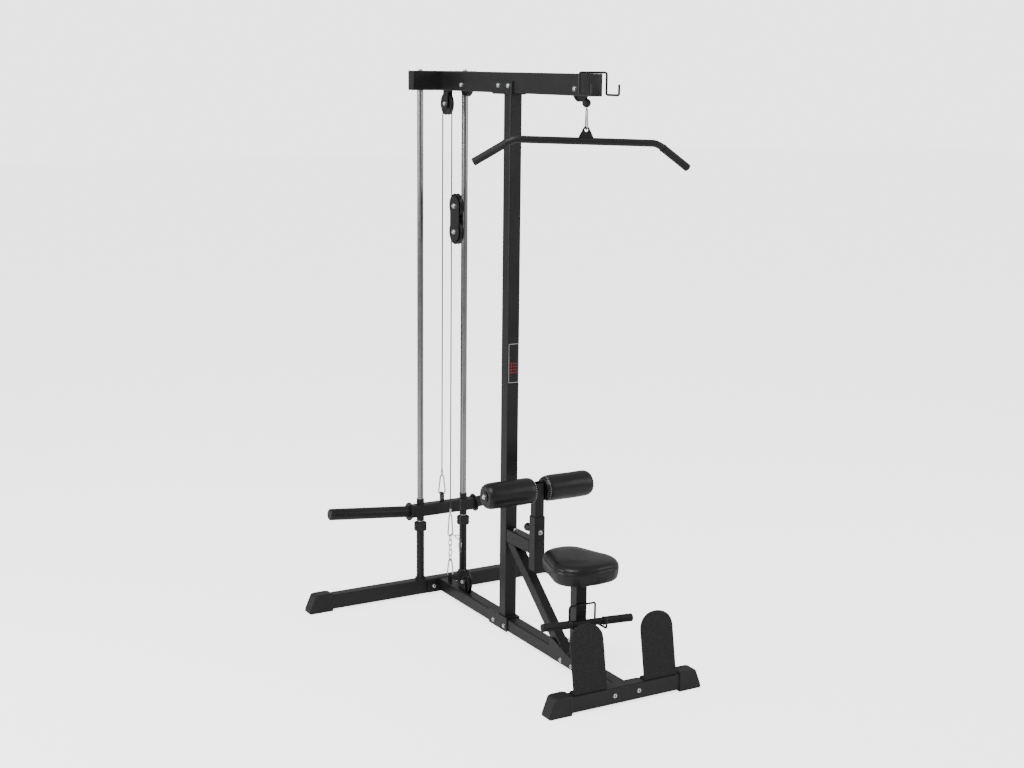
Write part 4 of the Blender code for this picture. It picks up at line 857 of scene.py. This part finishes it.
# Cable ends: the wire is crimped in a bright sleeve just above the carriage hook
# and above the chain's upper hook, each pinched at two places.
crimp_metal = make_finish(
    "crimp sleeve", (0.50, 0.51, 0.53), (0.64, 0.65, 0.67), 0.30, 0.14, 500.0, 80.0, 0.10, 1.0
)


def crimp(name, foot, direction, length, body):
    """Crimped sleeve round a cable end, pinched at two places along its length."""
    bpy.ops.object.select_all(action="DESELECT")
    bpy.ops.mesh.primitive_cylinder_add(
        vertices=24, radius=0.0044, depth=length, location=(0, 0, length / 2)
    )
    sleeve = settle(bpy.context.object, name)
    only(sleeve)
    for share in (0.15, 0.25, 0.35, 0.65, 0.75, 0.85):
        bpy.ops.object.mode_set(mode="EDIT")
        bpy.ops.mesh.select_all(action="SELECT")
        bpy.ops.mesh.bisect(plane_co=(0, 0, length * share), plane_no=(0, 0, 1))
        bpy.ops.object.mode_set(mode="OBJECT")
    for vert in sleeve.data.vertices:
        share = vert.co.z / length
        if abs(share - 0.25) < 0.02 or abs(share - 0.75) < 0.02:
            vert.co.x *= 0.80
    ease = sleeve.modifiers.new("ease", "BEVEL")
    ease.width = 0.0005
    ease.segments = 2
    ease.limit_method = "ANGLE"
    ease.angle_limit = math.radians(50.0)
    apply_all(sleeve)
    turn_to = Vector(direction).to_track_quat("Z", "Y").to_matrix().to_4x4()
    sleeve.data.transform(Matrix.Translation(foot) @ turn_to)
    smooth(sleeve, 40.0)
    return dress(sleeve, crimp_metal, body)


CRIMP_LENGTH = 0.022
crimp("carriage_crimp", (0.0, ROD_LINE_Y, CARRIAGE_EYE_Z), (0, 0, 1), CRIMP_LENGTH, "carriage")
crimp("chain_crimp", chain_eye, (0, 0, 1), CRIMP_LENGTH, "tower")

# Chain and snap hooks: bright zinc plated wire. The hooks are bent pears, drawn
# without gates; the chain is short welded links, each through the next, with a
# spare tail hanging beside it from the upper hook.
hook_zinc = make_finish(
    "hook zinc", (0.50, 0.51, 0.53), (0.66, 0.67, 0.69), 0.24, 0.14, 400.0, 60.0, 0.08, 1.0
)
wear(
    [
        "anchor_chain", "anchor_snap_hook", "cable_snap_hook", "carriage_snap_hook",
        "lat_snap_hook", "row_snap_hook",
    ],
    hook_zinc,
)


def link_path(centre, half_width, half_height, turn_angle, lean=0.0, steps=10):
    """Centre line of one welded chain link, turned about Z and leaning in XZ."""
    straight_half = half_height - half_width
    frame_of_link = (
        Matrix.Translation(centre)
        @ Matrix.Rotation(lean, 4, "Y")
        @ Matrix.Rotation(turn_angle, 4, "Z")
    )
    spots = []
    for base, sign in ((0.0, 1.0), (180.0, -1.0)):
        for step in range(steps + 1):
            angle = math.radians(base + 180.0 * step / steps)
            height = half_width * math.sin(angle) + sign * straight_half
            flat = Vector((half_width * math.cos(angle), 0.0, height))
            spots.append(tuple(frame_of_link @ flat))
    return spots


def join_wires(name, parts):
    """Several wires made one piece."""
    bpy.ops.object.select_all(action="DESELECT")
    for part in parts:
        part.select_set(True)
    bpy.context.view_layer.objects.active = parts[0]
    bpy.ops.object.join()
    parts[0].name = name
    return parts[0]


LINK_PITCH = 0.0216
links = []
for index in range(5):
    centre = (0.0, STRAND_REAR_Y, 0.150 + 0.0145 + LINK_PITCH * index)
    quarter = math.pi / 2 if index % 2 == 0 else 0.0
    links.append(wire("link", link_path(centre, 0.0065, 0.0125, quarter), 0.0040, 2, True))
chain = dress(join_wires("anchor_chain_links", links), hook_zinc, "tower")
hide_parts("anchor_chain")
tail_links = []
for x, z, quarter, lean in (
    (0.0153, 0.2592, math.pi / 2, 2.094),
    (0.0338, 0.2486, 0.0, 2.094),
    (0.0447, 0.2335, math.pi / 2, 0.0),
    (0.0447, 0.2122, 0.0, 0.0),
    (0.0447, 0.1909, math.pi / 2, 0.0),
):
    centre = (x, STRAND_REAR_Y, z)
    line = link_path(centre, 0.0060, 0.0125, quarter, lean)
    tail_links.append(wire("link", line, 0.0036, 2, True))
dress(join_wires("chain_tail", tail_links), hook_zinc, "tower")

# Hand grips: black moulded rubber sleeves pushed over the ends of the pull bars,
# ribbed round, with a raised first ring and a narrowed last one.
RIB_PITCH = 0.0025
grip_rubber = make_finish(
    "grip rubber", (0.008, 0.008, 0.008), (0.016, 0.016, 0.016), 0.66, 0.12, 700.0, 30.0, 0.40
)


def hand_grip(name, start, end, radius, body):
    """Ribbed rubber sleeve from start to end, with a flange at the start."""
    line = Vector(end) - Vector(start)
    length = line.length
    bpy.ops.object.select_all(action="DESELECT")
    bpy.ops.mesh.primitive_cylinder_add(
        vertices=40, radius=radius, depth=length, location=(0, 0, length / 2)
    )
    grip = settle(bpy.context.object, name)
    bm = bmesh.new()
    bm.from_mesh(grip.data)
    rings = int(length / RIB_PITCH)
    for step in range(1, rings):
        bmesh.ops.bisect_plane(
            bm,
            geom=bm.verts[:] + bm.edges[:] + bm.faces[:],
            plane_co=(0, 0, length * step / rings),
            plane_no=(0, 0, 1),
        )
    for vert in bm.verts:
        index = round(vert.co.z / length * rings)
        share = 1.0
        if 2 < index < rings - 2 and index % 2 == 0:
            share = 0.965
        if index in (0, 1):
            share = 1.06
        if index == rings:
            share = 0.80
        vert.co.x *= share
        vert.co.y *= share
    bm.to_mesh(grip.data)
    bm.free()
    turn_to = line.to_track_quat("Z", "Y").to_matrix().to_4x4()
    grip.data.transform(Matrix.Translation(start) @ turn_to)
    smooth(grip, 50.0)
    return dress(grip, grip_rubber, body)


lat_frame = (
    Matrix.Translation((0.0, LAT_DROP_Y, 1.914))
    @ Matrix.Rotation(math.radians(-18.0), 4, "Z")
    @ Matrix.Rotation(math.radians(1.6), 4, "Y")
    @ Matrix.Rotation(math.radians(23.0), 4, "X")
)
BEND = math.radians(35.5)
for side, word in ((-1.0, "left"), (1.0, "right")):
    ends = []
    for along in (0.028, 0.1565):
        flat = Vector((side * (0.254 + along * math.cos(BEND)), 0.0, -along * math.sin(BEND)))
        ends.append(lat_frame @ flat)
    hand_grip("lat_grip_" + word, ends[0], ends[1], 0.0140, "lat_handle")

row_frame = (
    Matrix.Translation((0.0, -0.545 + COLUMN_Y, 0.2128))
    @ Matrix.Rotation(math.radians(-9.0), 4, "Z")
)
for side, word in ((-1.0, "left"), (1.0, "right")):
    start = row_frame @ Vector((side * 0.0620, 0.0, 0.0))
    end = row_frame @ Vector((side * 0.1765, 0.0, 0.0))
    hand_grip("row_grip_" + word, start, end, 0.0150, "row_handle")

# Foot rests: leaning steel plates that stand on the front cross-beam by a flat foot,
# with a coarse black grit coat that a shoe can't slip on.
grit_coat = make_finish(
    "grit coat", (0.004, 0.004, 0.004), (0.026, 0.024, 0.0245), 0.75, 0.20, 420.0, 260.0, 1.0
)
wear(["footrest_left", "footrest_right"], grit_coat)

# Badge: a plain anodised plate fixed to the front of the column, black inside a
# bright rim, with four rows of three small red studs and no lettering.
BADGE_LOW_Z = 0.991
BADGE_HIGH_Z = 1.140
badge_black = make_finish(
    "badge black", (0.008, 0.008, 0.009), (0.014, 0.014, 0.015), 0.30, 0.08, 600.0, 30.0, 0.05
)
badge_rim = make_finish(
    "badge rim", (0.55, 0.55, 0.57), (0.68, 0.68, 0.70), 0.28, 0.10, 700.0, 40.0, 0.06, 1.0
)
badge_red = make_finish(
    "badge red", (0.42, 0.012, 0.014), (0.52, 0.020, 0.020), 0.35, 0.08, 600.0, 40.0, 0.05
)


def badge_slab(name, half_width, low_z, high_z, front, back, ease_width, material):
    """Thin upright slab with rounded corners on the column's front face."""
    bpy.ops.object.select_all(action="DESELECT")
    centre = (0.0, (front + back) / 2, (low_z + high_z) / 2)
    bpy.ops.mesh.primitive_cube_add(size=1.0, location=centre)
    slab = bpy.context.object
    slab.scale = (2 * half_width, back - front, high_z - low_z)
    settle(slab, name)
    only(slab)
    bpy.ops.object.mode_set(mode="EDIT")
    bpy.ops.mesh.select_mode(type="EDGE")
    bpy.ops.mesh.select_all(action="DESELECT")
    bpy.ops.object.mode_set(mode="OBJECT")
    for edge in slab.data.edges:
        one, two = (slab.data.vertices[index].co for index in edge.vertices)
        edge.select = abs(one.y - two.y) > 0.0001
    bpy.ops.object.mode_set(mode="EDIT")
    bpy.ops.mesh.bevel(offset=ease_width, segments=5)
    bpy.ops.object.mode_set(mode="OBJECT")
    smooth(slab, 30.0)
    return dress(slab, material, "tower")


badge_slab(
    "badge_rim", 0.0215, BADGE_LOW_Z, BADGE_HIGH_Z,
    COLUMN_Y - 0.0010, COLUMN_Y - 0.0001, 0.004, badge_rim,
)
badge_slab(
    "badge_face", 0.0195, 0.993, 1.138,
    COLUMN_Y - 0.0013, COLUMN_Y - 0.0008, 0.003, badge_black,
)
studs = []
for column_index in range(3):
    for row_index in range(4):
        bpy.ops.object.select_all(action="DESELECT")
        bpy.ops.mesh.primitive_cylinder_add(
            vertices=16,
            radius=0.0026,
            depth=0.0008,
            location=(-0.0105 + 0.0105 * column_index, COLUMN_Y - 0.0015, 1.030 + 0.0115 * row_index),
            rotation=(math.radians(90.0), 0.0, 0.0),
        )
        studs.append(settle(bpy.context.object, "stud"))
red_studs = join_wires("badge_studs", studs)
smooth(red_studs)
dress(red_studs, badge_red, "tower")
